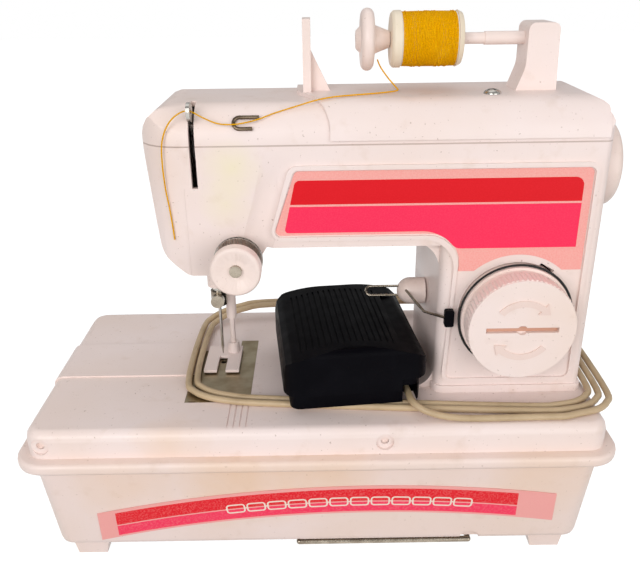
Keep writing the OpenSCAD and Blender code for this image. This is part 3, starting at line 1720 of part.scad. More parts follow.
// The crowned treadle as a block, shrunk by a wall
module treadle_block(i, z0) {
  steps = 16;
  intersection() {
    front_prism(concat(
      [[i, z0], [i, pedal_side_h - pedal_edge_r - i],
         [i + pedal_edge_r / 4, pedal_side_h - pedal_edge_r / 4 - i]],
      [for (k = [1:steps - 1]) [pedal_w * k / steps, crown(pedal_w * k / steps) - i]],
      [[pedal_w - i - pedal_edge_r / 4, pedal_side_h - pedal_edge_r / 4 - i],
         [pedal_w - i, pedal_side_h - pedal_edge_r - i], [pedal_w - i, z0]]
    ), 0, pedal_d);
    side_prism(soft([
      [i, z0, 0], [i, pedal_h - i, pedal_edge_r], [pedal_d - i, pedal_h - i, pedal_edge_r],
      [pedal_d - i, z0, 0]
    ]), 0, pedal_w);
    plan_prism(pedal_plan(i), z0, pedal_h + cut);
  }
}

module pedal_treadle() {
  color(black_colour)
  pedal_frame()
  difference() {
    union() {
      difference() {
        treadle_block(0, pedal_seam);
        treadle_block(pedal_wall, pedal_seam - cut);
      }
      for (x = [ear_x, pedal_w - ear_x - ear_w])
        intersection() {
          treadle_block(pedal_wall / 2, hinge_z - ear_half_d);
          block([x, hinge_y - ear_half_d, 0], [x + ear_w, hinge_y + ear_half_d, pedal_h]);
        }
    }
    for (k = [0:rib_count - 1])
      let (x = rib_end + (pedal_w - 2 * rib_end - panel_w) * k / (rib_count - 1))
      block([x - rib_w / 2, rib_end, crown(x) - rib_depth],
         [x + rib_w / 2, pedal_d - rib_end, pedal_h + cut]);
    block([pedal_w - rib_end - panel_w / 2, (pedal_d - panel_l) / 2,
       crown(pedal_w - rib_end) - panel_depth],
       [pedal_w - rib_end + panel_w / 2, (pedal_d + panel_l) / 2, pedal_h + cut]);
    block([pedal_w - pedal_step_w, -cut, 0], [pedal_w + cut, pedal_step_d, pedal_step_h]);
    rod_x(2 * pedal_wall, pedal_w - 2 * pedal_wall, hinge_y, hinge_z, hinge_r + run_gap);
  }
}

module pedal_base() {
  i = pedal_wall + pedal_gap;
  color(black_colour)
  pedal_frame()
  difference() {
    plan_prism(pedal_plan(i), 0, pedal_inner_h);
    plan_prism(pedal_plan(i + pedal_wall), pedal_wall, pedal_inner_h + cut);
    block([cord_notch_x, 0, -cut], [cord_notch_x + cord_notch_w, cord_notch_d + i, cord_notch_h]);
    rod_x(0, pedal_w, hinge_y, hinge_z, hinge_r + fit_gap);
  }
  color(black_colour)
  pedal_frame()
  difference() {
    block([cord_notch_x - pedal_wall, i + pedal_wall, pedal_wall],
       [pedal_w - i - pedal_wall / 2, cord_notch_d + i + pedal_wall, cord_notch_h + pedal_wall]);
    block([cord_notch_x, 0, 0], [cord_notch_x + cord_notch_w, cord_notch_d + i, cord_notch_h]);
  }
}

module pedal_pin() {
  color(steel_colour)
  pedal_frame()
  rod_x(pedal_wall + 2 * pedal_gap, pedal_w - pedal_wall - 2 * pedal_gap, hinge_y, hinge_z, hinge_r);
}

module pedal_spring() {
  color(steel_colour)
  pedal_frame()
  translate([spring_x, spring_y, pedal_wall + fit_gap])
    tube(spring_path(spring_r, spring_wire_r, crown(spring_x) - 2 * pedal_wall - 2 * fit_gap,
       spring_turns),
       spring_wire_r, 6);
}

module pedal_contacts() {
  color(brass_colour)
  pedal_frame()
  for (s = [0, 1])
    translate([spring_x + spring_r * 2, spring_y + s * spring_r * 2, pedal_wall])
      union() {
        cube([spring_r * 2, spring_r, contact_t]);
        cube([contact_t, spring_r, spring_r]);
      }
}

module cord_gland() {
  color(black_colour)
  above_deck()
  translate([gland_x, arm_y - wall, gland_z])
    rotate([-90, 0, 0])
      rotate_extrude()
        polygon([
          [0, 0], [gland_tip_r, 0], [gland_tip_r, wall], [gland_r, wall], [gland_r, 2 * wall],
          [gland_tip_r, gland_l - wall], [0, gland_l - wall]
        ]);
}

// One point of the loops at angle t, after the given turns
function loop_point(t, turn) =
  let (
    power = 2 / loop_square,
    c = sign(cos(t)) * pow(abs(cos(t)), power),
    s = sign(sin(t)) * pow(abs(sin(t)), power),
    half_d = s > 0 ? loop_half_d : loop_half_d * (1 + loop_slant * c),
    in = loop_pitch * turn,
    lift = s > 0 ? pow(sin(t), 2) : 0
  )
  [loop_x + (loop_half_w - in) * c, loop_y + (half_d - in) * s,
    cord_r + loop_rise * lift + loop_left_lift * pow(max(0, -c), 2 * loop_square)];

loop_points = [
  for (i = [0:loop_rings * loop_turns])
    loop_point(loop_start + 360 * i / loop_rings, i / loop_rings)
];

echo("least gap of the cord loops", least_gap(loop_points, loop_rings, cord_r));

loop_out = unit(loop_points[1] - loop_points[0]);

module pedal_lead() {
  color(cord_colour)
  above_deck()
  tube(concat(pedal_lead_route,
              [loop_points[0] - 4 * cord_r * loop_out, loop_points[0] - clear_gap * loop_out]), cord_r,
              8);
}

module cord_coil() {
  color(cord_colour)
  above_deck()
  tube(concat(loop_points, gland_route), cord_r, cord_sides);
}

base_tub();
base_deck();
base_screws();
needle_plate();
arm_body();
arm_lid();
face_cover();
top_cover();
cover_screw();
front_label();
base_label();
shaft_bushes();
main_shaft();
hand_wheel();
crank_disc();
drive_gear();
motor();
motor_pinion();
drive_belt();
lower_shaft();
lower_pulley();
looper();
feed_dog();
head_bracket();
needle_bar();
needle_yoke();
take_up_arm();
needle_clamp();
clamp_screw();
needle();
presser_bar();
presser_spring();
presser_foot();
presser_lever();
tension_stud();
tension_discs();
tension_spring();
tension_knob();
thread_guide();
spool_pin();
spool();
spool_thread();
spool_cap();
thread();
battery_cap();
cap_contact();
battery_cells();
battery_contacts();
lever_hub();
lever_wire();
lever_shoe();
carry_bail();
pedal_base();
pedal_treadle();
pedal_pin();
pedal_spring();
pedal_contacts();
cord_gland();
pedal_lead();
cord_coil();
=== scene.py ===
# %% [markdown]
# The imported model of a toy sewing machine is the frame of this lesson. Every piece keeps the place that the solids
# give it, apart from the thread's first stretch, in metres, with X to the hand wheel, Y to the back and Z up. The looks
# are made around it: rounded plastic shells, printed stickers, a cord, a thread and the finishes.

# %% Load the frame
import json
import math
import bpy
from mathutils import Matrix, Vector


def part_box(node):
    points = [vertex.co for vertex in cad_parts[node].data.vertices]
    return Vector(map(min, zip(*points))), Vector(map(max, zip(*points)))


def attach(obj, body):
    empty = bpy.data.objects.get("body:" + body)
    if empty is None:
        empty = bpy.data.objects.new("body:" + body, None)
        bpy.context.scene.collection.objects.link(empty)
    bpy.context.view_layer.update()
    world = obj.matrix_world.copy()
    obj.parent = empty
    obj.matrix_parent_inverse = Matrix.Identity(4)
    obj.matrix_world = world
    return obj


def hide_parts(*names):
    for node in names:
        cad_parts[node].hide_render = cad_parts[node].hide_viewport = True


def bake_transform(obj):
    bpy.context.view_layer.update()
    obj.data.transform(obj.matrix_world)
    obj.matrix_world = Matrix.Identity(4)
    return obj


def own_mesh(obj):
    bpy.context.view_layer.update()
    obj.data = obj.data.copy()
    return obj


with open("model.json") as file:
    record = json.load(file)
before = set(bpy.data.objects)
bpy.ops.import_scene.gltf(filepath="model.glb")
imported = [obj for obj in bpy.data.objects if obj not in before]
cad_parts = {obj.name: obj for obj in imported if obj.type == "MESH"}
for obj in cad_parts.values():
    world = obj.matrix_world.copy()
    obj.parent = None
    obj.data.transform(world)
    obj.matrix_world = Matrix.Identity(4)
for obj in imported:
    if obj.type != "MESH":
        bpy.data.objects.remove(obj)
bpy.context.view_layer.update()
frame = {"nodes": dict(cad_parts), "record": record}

MM = 0.001
# The height of the deck's top, from which places above it are measured
DECK = 82 * MM
# Faces that meet at less than this angle are shaded as one surface
SMOOTH = math.radians(35)
BODY_OF = {node: body for body, nodes in frame["record"]["behaviour"]["bodies"].items() for node in nodes}

def place_of(*point):
    """The place in the frame of a point in millimetres above the deck."""
    return Vector(point) * MM + Vector((0, 0, DECK))

# %% [markdown]
# The camera stands in front of the machine and a little above it, looking down at about 24 degrees. Its place and
# lens were worked out from edges of the base and the arm, so a render can be laid over the photograph.

# %% Camera
SENSOR, FOCAL_PIXELS, PHOTO_WIDTH = 36, 720.5, 640

def rotation(degrees, axis):
    return Matrix.Rotation(math.radians(degrees), 3, axis)

bpy.ops.object.select_all(action="DESELECT")
bpy.ops.object.camera_add()
camera = bpy.context.object
camera.data.sensor_width = SENSOR
camera.data.lens = SENSOR * FOCAL_PIXELS / PHOTO_WIDTH
camera.data.clip_start = 0.01
turn = rotation(-0.21, "Z") @ rotation(-23.70, "X") @ rotation(0.78, "Y") @ rotation(90, "X")
camera.matrix_world = Matrix.Translation((1.5 * MM, -348.9 * MM, 199.8 * MM + DECK)) @ turn.to_4x4()
bpy.context.scene.camera = camera
print("camera lens", round(camera.data.lens, 2))

# %% [markdown]
# Every finish is a small node tree on Object coordinates, so its pattern has a real size in metres. These helpers
# add nodes and join them to what comes before, and turn screen colours into the linear colours of the shader.

# %% Helpers for finishes
def screen(red, green, blue):
    def linear(v):
        return v / 12.92 if v <= 0.04045 else ((v + 0.055) / 1.055) ** 2.4
    return (linear(red), linear(green), linear(blue), 1.0)

class Finish:
    """A material under construction. Most methods add a node and return its output socket."""
    def __init__(self, name):
        self.material = bpy.data.materials.new(name)
        self.material.use_nodes = True
        self.tree = self.material.node_tree
        self.shader = self.tree.nodes["Principled BSDF"]
        self.place = self.tree.nodes.new("ShaderNodeTexCoord").outputs["Object"]

    def join(self, value, socket):
        if isinstance(value, bpy.types.NodeSocket):
            self.tree.links.new(value, socket)
        else:
            socket.default_value = value

    def stretched(self, scale):
        node = self.tree.nodes.new("ShaderNodeMapping")
        node.inputs["Scale"].default_value = scale
        self.join(self.place, node.inputs["Vector"])
        return node.outputs["Vector"]

    def noise(self, scale, detail=3.0, vector=None):
        node = self.tree.nodes.new("ShaderNodeTexNoise")
        node.inputs["Scale"].default_value = scale
        node.inputs["Detail"].default_value = detail
        self.join(vector or self.place, node.inputs["Vector"])
        return node.outputs["Fac"]

    def steps(self, value, stops, mode="LINEAR"):
        node = self.tree.nodes.new("ShaderNodeValToRGB")
        node.color_ramp.interpolation = mode
        while len(node.color_ramp.elements) < len(stops):
            node.color_ramp.elements.new(0.5)
        for element, (position, colour) in zip(node.color_ramp.elements, stops):
            element.position = position
            element.color = colour if hasattr(colour, "__len__") else (colour, colour, colour, 1)
        self.join(value, node.inputs["Fac"])
        return node.outputs["Color"]

    def mix(self, share, first, second):
        node = self.tree.nodes.new("ShaderNodeMix")
        node.data_type = "RGBA"
        self.join(share, node.inputs["Factor"])
        self.join(first, node.inputs["A"])
        self.join(second, node.inputs["B"])
        return node.outputs["Result"]

    def math(self, kind, first, second=0.0):
        node = self.tree.nodes.new("ShaderNodeMath")
        node.operation = kind
        self.join(first, node.inputs[0])
        self.join(second, node.inputs[1])
        return node.outputs[0]

    def axes(self):
        node = self.tree.nodes.new("ShaderNodeSeparateXYZ")
        self.join(self.place, node.inputs[0])
        return node.outputs

    def near(self, centre, reach, strength):
        """How close a point is to centre, from strength there to nothing at reach, with a ragged edge."""
        node = self.tree.nodes.new("ShaderNodeVectorMath")
        node.operation = "DISTANCE"
        node.inputs[1].default_value = centre
        self.join(self.place, node.inputs[0])
        ragged = self.math("ADD", node.outputs["Value"], self.math("MULTIPLY", self.noise(90, 4), 0.5 * reach))
        return self.steps(self.math("DIVIDE", ragged, 1.4 * reach), [(0.15, strength), (0.95, 0.0)])

    def bump(self, height, strength, distance=0.0005):
        node = self.tree.nodes.new("ShaderNodeBump")
        node.inputs["Strength"].default_value = strength
        node.inputs["Distance"].default_value = distance
        self.join(height, node.inputs["Height"])
        self.join(node.outputs["Normal"], self.shader.inputs["Normal"])

    def set(self, **values):
        for name, value in values.items():
            self.join(value, self.shader.inputs[name.replace("_", " ")])
        return self.material

# %% [markdown]
# The shells are pale pink plastic that has aged: the colour drifts a little towards yellow over a few centimetres,
# dust and grime sit in specks and patches, and the gloss is uneven. Noise of several sizes gives these effects. Single
# stains are placed by their distance from a point, and a thin band of painted shade marks a seam at its height.

# %% Aged pale plastic
# A thin dark band of painted shade stands in for the shadow in the groove of the parting line.
PARTING_LINE, SEAM_HALF, SEAM_SHADE = 210, 0.34, 0.55

def aged_plastic(name, base, yellowed, specks=0.5, rough=(0.30, 0.46), stains=(), seams=()):
    """Pale plastic with drift, dust and grime. Each stain is a centre, a reach, a strength and a colour.
    Painted shade darkens the seams, each a height above the floor."""
    f = Finish(name)
    drift = f.steps(f.noise(14, 4), [(0.38, base), (0.74, yellowed)])
    dust = f.steps(f.noise(700, 2), [(0.70, 0.0), (0.76, specks)])
    grime = f.steps(f.noise(95, 6), [(0.60, 0.0), (0.86, 0.35)])
    colour = f.mix(dust, drift, screen(0.55, 0.42, 0.33))
    colour = f.mix(grime, colour, screen(0.80, 0.68, 0.58))
    for centre, reach, strength, tint in stains:
        colour = f.mix(f.near(Vector(centre) * MM, reach * MM, strength), colour, tint)
    for height in seams:
        # Painted shade: a thin dark band along the seam's groove
        off = f.math("ABSOLUTE", f.math("SUBTRACT", f.axes()[2], height * MM))
        painted_shade = f.math("MULTIPLY", f.math("LESS_THAN", off, SEAM_HALF * MM), SEAM_SHADE)
        colour = f.mix(painted_shade, colour, screen(0.60, 0.49, 0.43))
    f.bump(f.noise(420, 4), 0.10, 0.0002)
    gloss = f.steps(f.noise(60, 5), [(0.3, rough[0]), (0.7, rough[1])])
    return f.set(Base_Color=colour, Roughness=gloss, Specular_IOR_Level=0.45)

tan, lemon = screen(0.90, 0.72, 0.50), screen(0.93, 0.90, 0.70)
shell = aged_plastic("pale_shell", screen(0.945, 0.880, 0.862), screen(0.925, 0.845, 0.805), stains=[
    ((-36, -34, 200), 14, 0.5, lemon), ((-40, -34, 184), 12, 0.4, lemon), ((-70, -71, 78), 20, 0.35, tan)],
    seams=[PARTING_LINE])
tub_shell = aged_plastic("pale_tub", screen(0.940, 0.865, 0.840), screen(0.920, 0.830, 0.775), 0.35, stains=[
    ((-36, -70, 53), 34, 0.55, tan), ((4, -70, 55), 30, 0.40, tan), ((-96, -70, 48), 26, 0.30, tan),
    ((110, -70, 55), 30, 0.30, tan)])
knob_shell = aged_plastic("pale_knob", screen(0.950, 0.880, 0.855), screen(0.935, 0.850, 0.800), 0.35)
reel_plastic = aged_plastic("cream_reel", screen(0.93, 0.88, 0.80), screen(0.90, 0.82, 0.70), 0.3)

# %% [markdown]
# Metal parts are stamped or drawn steel. Stretching the noise along one axis turns it into fine brushed lines, and
# a coarser noise dulls the metal in patches.

# %% Metals
def worn_metal(name, base, dull, along, rough=(0.28, 0.48)):
    f = Finish(name)
    lines = f.noise(60, 3, f.stretched(along))
    patches = f.noise(120, 4)
    colour = f.mix(f.steps(patches, [(0.35, 0.0), (0.75, 1.0)]), base, dull)
    f.bump(lines, 0.08, 0.0001)
    gloss = f.steps(lines, [(0.3, rough[0]), (0.7, rough[1])])
    return f.set(Base_Color=colour, Roughness=gloss, Metallic=1.0)

plate_steel = worn_metal("plate_steel", screen(0.70, 0.65, 0.55), screen(0.58, 0.52, 0.41), (1, 30, 1))
bright_steel = worn_metal("bright_steel", screen(0.80, 0.79, 0.77), screen(0.62, 0.60, 0.57), (20, 20, 1), (0.18, 0.36))
dark_wire = worn_metal("dark_wire", screen(0.50, 0.44, 0.37), screen(0.30, 0.25, 0.20), (20, 1, 20), (0.22, 0.40))
wire_steel = worn_metal("wire_steel", screen(0.70, 0.66, 0.60), screen(0.46, 0.41, 0.35), (20, 1, 20), (0.20, 0.36))
brass = worn_metal("brass", screen(0.80, 0.66, 0.36), screen(0.62, 0.48, 0.24), (1, 20, 20))

# %% [markdown]
# The foot pedal and the small shoe are black moulded plastic with a fine spark-eroded grain. The gears are plain
# white nylon, the belt is rubber and the cells have printed steel jackets; these are hidden inside but finished too.

# %% Black plastic, nylon, rubber and cell jackets
def grained(name, base, worn, grain, rough, bump=0.25, shine=0.5):
    f = Finish(name)
    wear = f.steps(f.noise(70, 5), [(0.45, 0.0), (0.80, 1.0)])
    f.bump(f.noise(grain, 3), bump, 0.0002)
    gloss = f.steps(f.noise(150, 4), [(0.3, rough[0]), (0.7, rough[1])])
    return f.set(Base_Color=f.mix(wear, base, worn), Roughness=gloss, Specular_IOR_Level=shine)

black_plastic = grained("black_pedal", screen(0.015, 0.013, 0.028), screen(0.040, 0.038, 0.058), 1500, (0.36, 0.52),
                        shine=0.04)
nylon = grained("white_nylon", screen(0.92, 0.92, 0.90), screen(0.86, 0.85, 0.80), 900, (0.35, 0.5), 0.1)
rubber = grained("belt_rubber", screen(0.07, 0.07, 0.07), screen(0.12, 0.12, 0.12), 1200, (0.6, 0.8))
jacket = grained("cell_jacket", screen(0.20, 0.24, 0.34), screen(0.30, 0.32, 0.38), 800, (0.3, 0.45), 0.1)

# %% [markdown]
# The cord is beige vinyl, a little greyer where it was handled. The thread is yellow cotton: fine noise, finer
# still along the reel, gives the broken shine of twisted fibres.

# %% Cord and thread
cord_vinyl = grained("beige_vinyl", screen(0.76, 0.665, 0.53), screen(0.67, 0.575, 0.44), 900, (0.36, 0.52), 0.12)

def cotton(name, light, dark):
    f = Finish(name)
    fibres = f.noise(1800, 4, f.stretched((2.5, 1, 1)))
    patches = f.noise(110, 3)
    colour = f.mix(f.steps(fibres, [(0.35, 0.0), (0.65, 1.0)]), dark, light)
    colour = f.mix(f.steps(patches, [(0.5, 0.0), (0.9, 0.4)]), colour, screen(0.95, 0.76, 0.14))
    f.bump(fibres, 0.5, 0.0003)
    return f.set(Base_Color=colour, Roughness=0.85, Specular_IOR_Level=0.05)

yellow_cotton = cotton("yellow_cotton", screen(0.98, 0.74, 0.0), screen(0.82, 0.57, 0.0))

# %% [markdown]
# Each solid is loose triangles with knife-sharp edges. A copy is merged, its flat areas are joined into single
# faces, and a narrow bevel rounds the sharp edges so that they catch the light as moulded plastic does.

# %% Rounded copies of the solids
WELD, FLAT = 2e-6, math.radians(0.6)

def only(obj):
    bpy.ops.object.select_all(action="DESELECT")
    bpy.context.view_layer.objects.active = obj
    obj.select_set(True)

def apply(obj, kind, **settings):
    only(obj)
    bpy.ops.object.modifier_add(type=kind)
    modifier = obj.modifiers[-1]
    for name, value in settings.items():
        setattr(modifier, name, value)
    bpy.ops.object.modifier_apply(modifier=modifier.name)

def face_outward(obj):
    only(obj)
    bpy.ops.object.mode_set(mode="EDIT")
    bpy.ops.mesh.select_all(action="SELECT")
    bpy.ops.mesh.normals_make_consistent(inside=False)
    bpy.ops.object.mode_set(mode="OBJECT")

def rounded(node, width, finish, angle=32):
    """A copy of a node's solid whose edges sharper than angle are rounded by a bevel of that width."""
    piece = bpy.data.objects.new(node + "_skin", frame["nodes"][node].data.copy())
    bpy.context.scene.collection.objects.link(piece)
    only(piece)
    bpy.ops.mesh.customdata_custom_splitnormals_clear()
    bpy.ops.object.mode_set(mode="EDIT")
    bpy.ops.mesh.select_all(action="SELECT")
    bpy.ops.mesh.remove_doubles(threshold=WELD)
    bpy.ops.mesh.dissolve_limited(angle_limit=FLAT)
    bpy.ops.object.mode_set(mode="OBJECT")
    apply(piece, "BEVEL", width=width * MM, segments=2, limit_method="ANGLE",
          angle_limit=math.radians(angle), miter_outer="MITER_ARC", use_clamp_overlap=True)
    only(piece)
    bpy.ops.object.shade_smooth_by_angle(angle=SMOOTH)
    apply(piece, "WEIGHTED_NORMAL", keep_sharp=True, weight=60)
    piece.data.materials.clear()
    piece.data.materials.append(finish)
    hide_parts(node)
    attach(piece, BODY_OF[node])
    return piece

SHELLS = {
    "base_tub": (0.5, tub_shell, 32), "base_deck": (0.5, shell, 32), "arm_body": (0.5, shell, 34),
    "arm_lid": (0.35, shell, 32), "face_cover": (0.35, shell, 32), "top_cover": (0.5, shell, 32),
}
for node, (width, finish, angle) in SHELLS.items():
    made = rounded(node, width, finish, angle)
    print(made.name, len(made.data.polygons), "faces")

# %% [markdown]
# The knobs, the pedal and the small fittings are rounded in the same way, mostly with a narrower bevel.

# %% Knobs, the pedal and fittings
FITTINGS = {
    "hand_wheel": (0.3, knob_shell), "battery_cap": (0.25, knob_shell), "spool_cap": (0.3, knob_shell),
    "tension_knob": (0.3, knob_shell), "lever_hub": (0.3, knob_shell), "presser_foot": (0.3, shell),
    "presser_lever": (0.3, shell), "pedal_treadle": (0.4, black_plastic), "pedal_base": (0.4, black_plastic),
    "spool": (0.3, reel_plastic), "lever_shoe": (0.3, black_plastic), "needle_plate": (0.12, plate_steel),
}
for node, (width, finish) in FITTINGS.items():
    made = rounded(node, width, finish)
    print(made.name, len(made.data.polygons), "faces")

# %% [markdown]
# The solids that no other piece replaces have the right shape already, so they only get their finish.

# %% Finishes for the other solids
def refinish(node, finish):
    mesh = frame["nodes"][node].data
    mesh.materials.clear()
    mesh.materials.append(finish)

plain = {
    shell: "presser_bar spool_pin",
    bright_steel: "base_screws main_shaft crank_disc motor lower_shaft looper feed_dog head_bracket needle_bar "
                  "needle_yoke take_up_arm needle tension_discs pedal_pin",
    dark_wire: "thread_guide",
    wire_steel: "lever_wire carry_bail needle_clamp clamp_screw tension_stud",
    brass: "shaft_bushes cap_contact battery_contacts pedal_contacts",
    nylon: "drive_gear motor_pinion lower_pulley",
    rubber: "drive_belt",
    jacket: "battery_cells",
    black_plastic: "cord_gland",
}
for finish, names in plain.items():
    for node in names.split():
        refinish(node, finish)

# %% [markdown]
# The cord runs from the foot pedal to the back of the pillar in wide loops round the pillar and the needle. Its line
# has the formula of the solids with more points between, and a round bevel gives the curve its thickness.

# %% The pedal's cord
CORD_R = 1.7
LOOP_X, LOOP_Y, LOOP_HALF_W, LOOP_HALF_D = 39, 3, 109.5, 57
LOOP_SQUARE, LOOP_SLANT, LOOP_PITCH = 6, 0.15, 4.2
LOOP_RISE, LOOP_LEFT_LIFT = 8.5, 1.15
LOOP_START, LOOP_TURNS, LOOP_RINGS = -60, 2.25, 24

def loop_point(degrees, turn):
    """A point of the loops, which are rounded boxes, each a little inside the one before and lifted at the back."""
    def squared(value):
        return math.copysign(abs(value) ** (2 / LOOP_SQUARE), value)
    angle = math.radians(degrees)
    c, s = squared(math.cos(angle)), squared(math.sin(angle))
    half_d = LOOP_HALF_D if s > 0 else LOOP_HALF_D * (1 + LOOP_SLANT * c)
    lift = math.sin(angle) ** 2 if s > 0 else 0
    inset = LOOP_PITCH * turn
    height = CORD_R + LOOP_RISE * lift + LOOP_LEFT_LIFT * max(0, -c) ** (2 * LOOP_SQUARE)
    return (LOOP_X + (LOOP_HALF_W - inset) * c, LOOP_Y + (half_d - inset) * s, height)

loops = [loop_point(LOOP_START + 360 / LOOP_RINGS * i, i / LOOP_RINGS) for i in range(int(LOOP_RINGS * LOOP_TURNS) + 1)]
lead = [(45.1, -38.6, 6), (45.7, -44.6, 6), (46.3, -49.5, 5.9), (48, -53.5, 5.4), (52, -56.8, 4.2), (58, -58.6, 2.8),
        (66, -60, 2), (76, -60.6, 1.8), (87, -60.5, 1.75), (98, -60.2, 1.7), (112, -60, 1.7), (119.4, -59.8, 1.7)]
tail = [(103, 47.4, 10.4), (96, 46.8, 10.6), (91.4, 44.6, 10.8), (89.4, 41.4, 11), (89.2, 38.5, 11)]

def in_frame(points):
    return [place_of(*point) for point in points]

def smooth_line(points, steps):
    """A Catmull-Rom curve through the points, with that many steps from each point to the next."""
    line = []
    for i in range(len(points) - 1):
        before, a, b, after = points[max(i - 1, 0)], points[i], points[i + 1], points[min(i + 2, len(points) - 1)]
        for k in range(steps):
            t = k / steps
            line.append(0.5 * (2 * a + (b - before) * t + (2 * before - 5 * a + 4 * b - after) * t ** 2
                               + (3 * a - before - 3 * b + after) * t ** 3))
    return line + [points[-1]]

def length_of(line):
    return sum((b - a).length for a, b in zip(line, line[1:]))

def wire(name, line, radius, finish, resolution=4):
    """A round wire: a poly curve through the points of line, with a round bevel."""
    data = bpy.data.curves.new(name, "CURVE")
    data.dimensions = "3D"
    data.bevel_depth = radius
    data.bevel_resolution = resolution
    data.use_fill_caps = True
    spline = data.splines.new("POLY")
    spline.points.add(len(line) - 1)
    for point, place in zip(spline.points, line):
        point.co = (*place, 1)
    spline.use_smooth = True
    piece = bpy.data.objects.new(name, data)
    bpy.context.scene.collection.objects.link(piece)
    data.materials.append(finish)
    return piece

def wire_mesh(name, line, radius, finish, resolution=1):
    """The same wire made into a mesh."""
    only(wire(name, line, radius, finish, resolution))
    bpy.ops.object.convert(target="MESH")
    return bpy.context.object

cord_line = smooth_line(in_frame(lead + loops + tail), 4)
cord = wire("pedal_cord", cord_line, CORD_R * MM, cord_vinyl)
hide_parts("pedal_lead", "cord_coil")
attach(cord, "machine")
print("cord length", round(length_of(cord_line), 3))

# %% [markdown]
# The thread comes from under the reel's cap, lies over the top cover, passes the wire guide and the eye of the take-up
# arm and hangs down beside the head. It is a thin mesh tube.

# %% The sewing thread
THREAD_R = 0.34
strand = [(30.6, -3, 160.5), (32.2, -3.8, 157), (35.6, -5, 152.4), (39, -6.8, 148.6), (39.4, -9.4, 147.3),
          (31, -13.6, 147), (20, -18, 147), (10, -22, 146.9), (2, -25, 146), (-8, -27.5, 143.6), (-17, -30.4, 141.4),
          (-23, -32.8, 139.6), (-29, -34.4, 138.4), (-35, -34.9, 137.8), (-41, -35.1, 138.4), (-47, -35.2, 141),
          (-53, -34.4, 143.8), (-58, -34.8, 142.4), (-62.5, -34.8, 138), (-65.6, -34.6, 131), (-66.6, -34.2, 122),
          (-66.4, -34, 110), (-65.4, -34, 100), (-64.8, -34, 92), (-64.4, -34.2, 85)]
strand_line = smooth_line(in_frame(strand), 4)
thread = wire_mesh("sewing_thread", strand_line, THREAD_R * MM, yellow_cotton)
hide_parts("thread")
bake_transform(thread)
print("thread length", round(length_of(strand_line), 3))

# %% [markdown]
# The reel is full of thread. The outer layer is one long tube, wound over a plain core with a slight crown and so close
# that single turns only just show. A second tube crosses over it in slanting turns.

# %% The winding on the reel
low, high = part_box("spool_thread")
AXIS_Z = DECK + 169 * MM
CORE_R, WINDING_R, CROWN, CROSSING_R = 11.75, 11.72, 0.16, 12.1
WINDING_STRAND, CROSSING_STRAND = 0.36, 0.3
WINDING_TURNS, CROSSING_TURNS, TURN_STEPS = 36, 9, 32
reel_middle, reel_length = (low.x + high.x) / 2, high.x - low.x

def on_reel(x, radius, turn):
    angle = 2 * math.pi * turn
    return Vector((x, radius * MM * math.cos(angle), AXIS_Z + radius * MM * math.sin(angle)))

bpy.ops.object.select_all(action="DESELECT")
bpy.ops.mesh.primitive_cylinder_add(vertices=64, radius=CORE_R * MM, depth=reel_length,
                                    location=(reel_middle, 0, AXIS_Z), rotation=(0, math.pi / 2, 0))
core = bpy.context.object
bpy.ops.object.transform_apply(location=True, rotation=True, scale=True)
winding_line = []
for i in range(WINDING_TURNS * TURN_STEPS + 1):
    share = i / (WINDING_TURNS * TURN_STEPS)
    x = low.x + WINDING_STRAND * MM + (reel_length - 2 * WINDING_STRAND * MM) * share
    winding_line.append(on_reel(x, WINDING_R + CROWN * math.sin(math.pi * share), i / TURN_STEPS))
winding = wire_mesh("reel_thread", winding_line, WINDING_STRAND * MM, yellow_cotton)
crossing_line = []
for i in range(CROSSING_TURNS * TURN_STEPS + 1):
    turn = i / TURN_STEPS
    sway = math.sin(2.3 * turn) * 0.6 + math.sin(0.71 * turn + 1) * 0.4
    crossing_line.append(on_reel(reel_middle + 0.44 * reel_length * sway, CROSSING_R, -turn))
crossing = wire_mesh("crossing_turns", crossing_line, CROSSING_STRAND * MM, yellow_cotton)
only(winding)
crossing.select_set(True)
core.select_set(True)
bpy.ops.object.join()
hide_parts("spool_thread")
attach(winding, "reel")
print("winding", len(winding.data.polygons), "faces")

# %% [markdown]
# Three small springs are wound from thin steel wire. Each one fills the box of its solid, and the two that work with
# the presser bar and the treadle get a mesh of their own.

# %% Wire springs
COIL_STEPS, LIFT, PRESS = 16, 6 * MM, math.radians(4)

def spring_line(node, wire_radius, turns, across, up, along):
    low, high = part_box(node)
    middle = (low + high) / 2
    radius = (high[across] - low[across]) / 2 - wire_radius
    line = []
    for i in range(COIL_STEPS * turns + 1):
        place = middle.copy()
        place[across] += radius * math.cos(2 * math.pi * i / COIL_STEPS)
        place[up] += radius * math.sin(2 * math.pi * i / COIL_STEPS)
        length = high[along] - low[along] - 2 * wire_radius
        place[along] = low[along] + wire_radius + length * i / (COIL_STEPS * turns)
        line.append(place)
    return line

def spring(node, wire_radius, turns, across=0, up=1, along=2):
    line = spring_line(node, wire_radius, turns, across, up, along)
    piece = wire_mesh(node + "_wire", line, wire_radius, bright_steel)
    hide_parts(node)
    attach(piece, BODY_OF[node])
    return piece

spring("tension_spring", 0.45 * MM, 3, 2, 0, 1)
lift_spring = spring("presser_spring", 0.45 * MM, 4)
low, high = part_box("presser_spring")
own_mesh(lift_spring)
foot_spring = spring("pedal_spring", 0.6 * MM, 7)
low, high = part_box("pedal_spring")
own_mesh(foot_spring)

# %% [markdown]
# The stickers are printed vinyl. The front one is a pink sheet with two bands on it. Each band starts as a filled ring
# of as many corners as it needs. They are moved into place, and some are rounded by a vertex bevel.

# %% Printed vinyl
BAND_FACE, FOIL = -34.34, 0.03

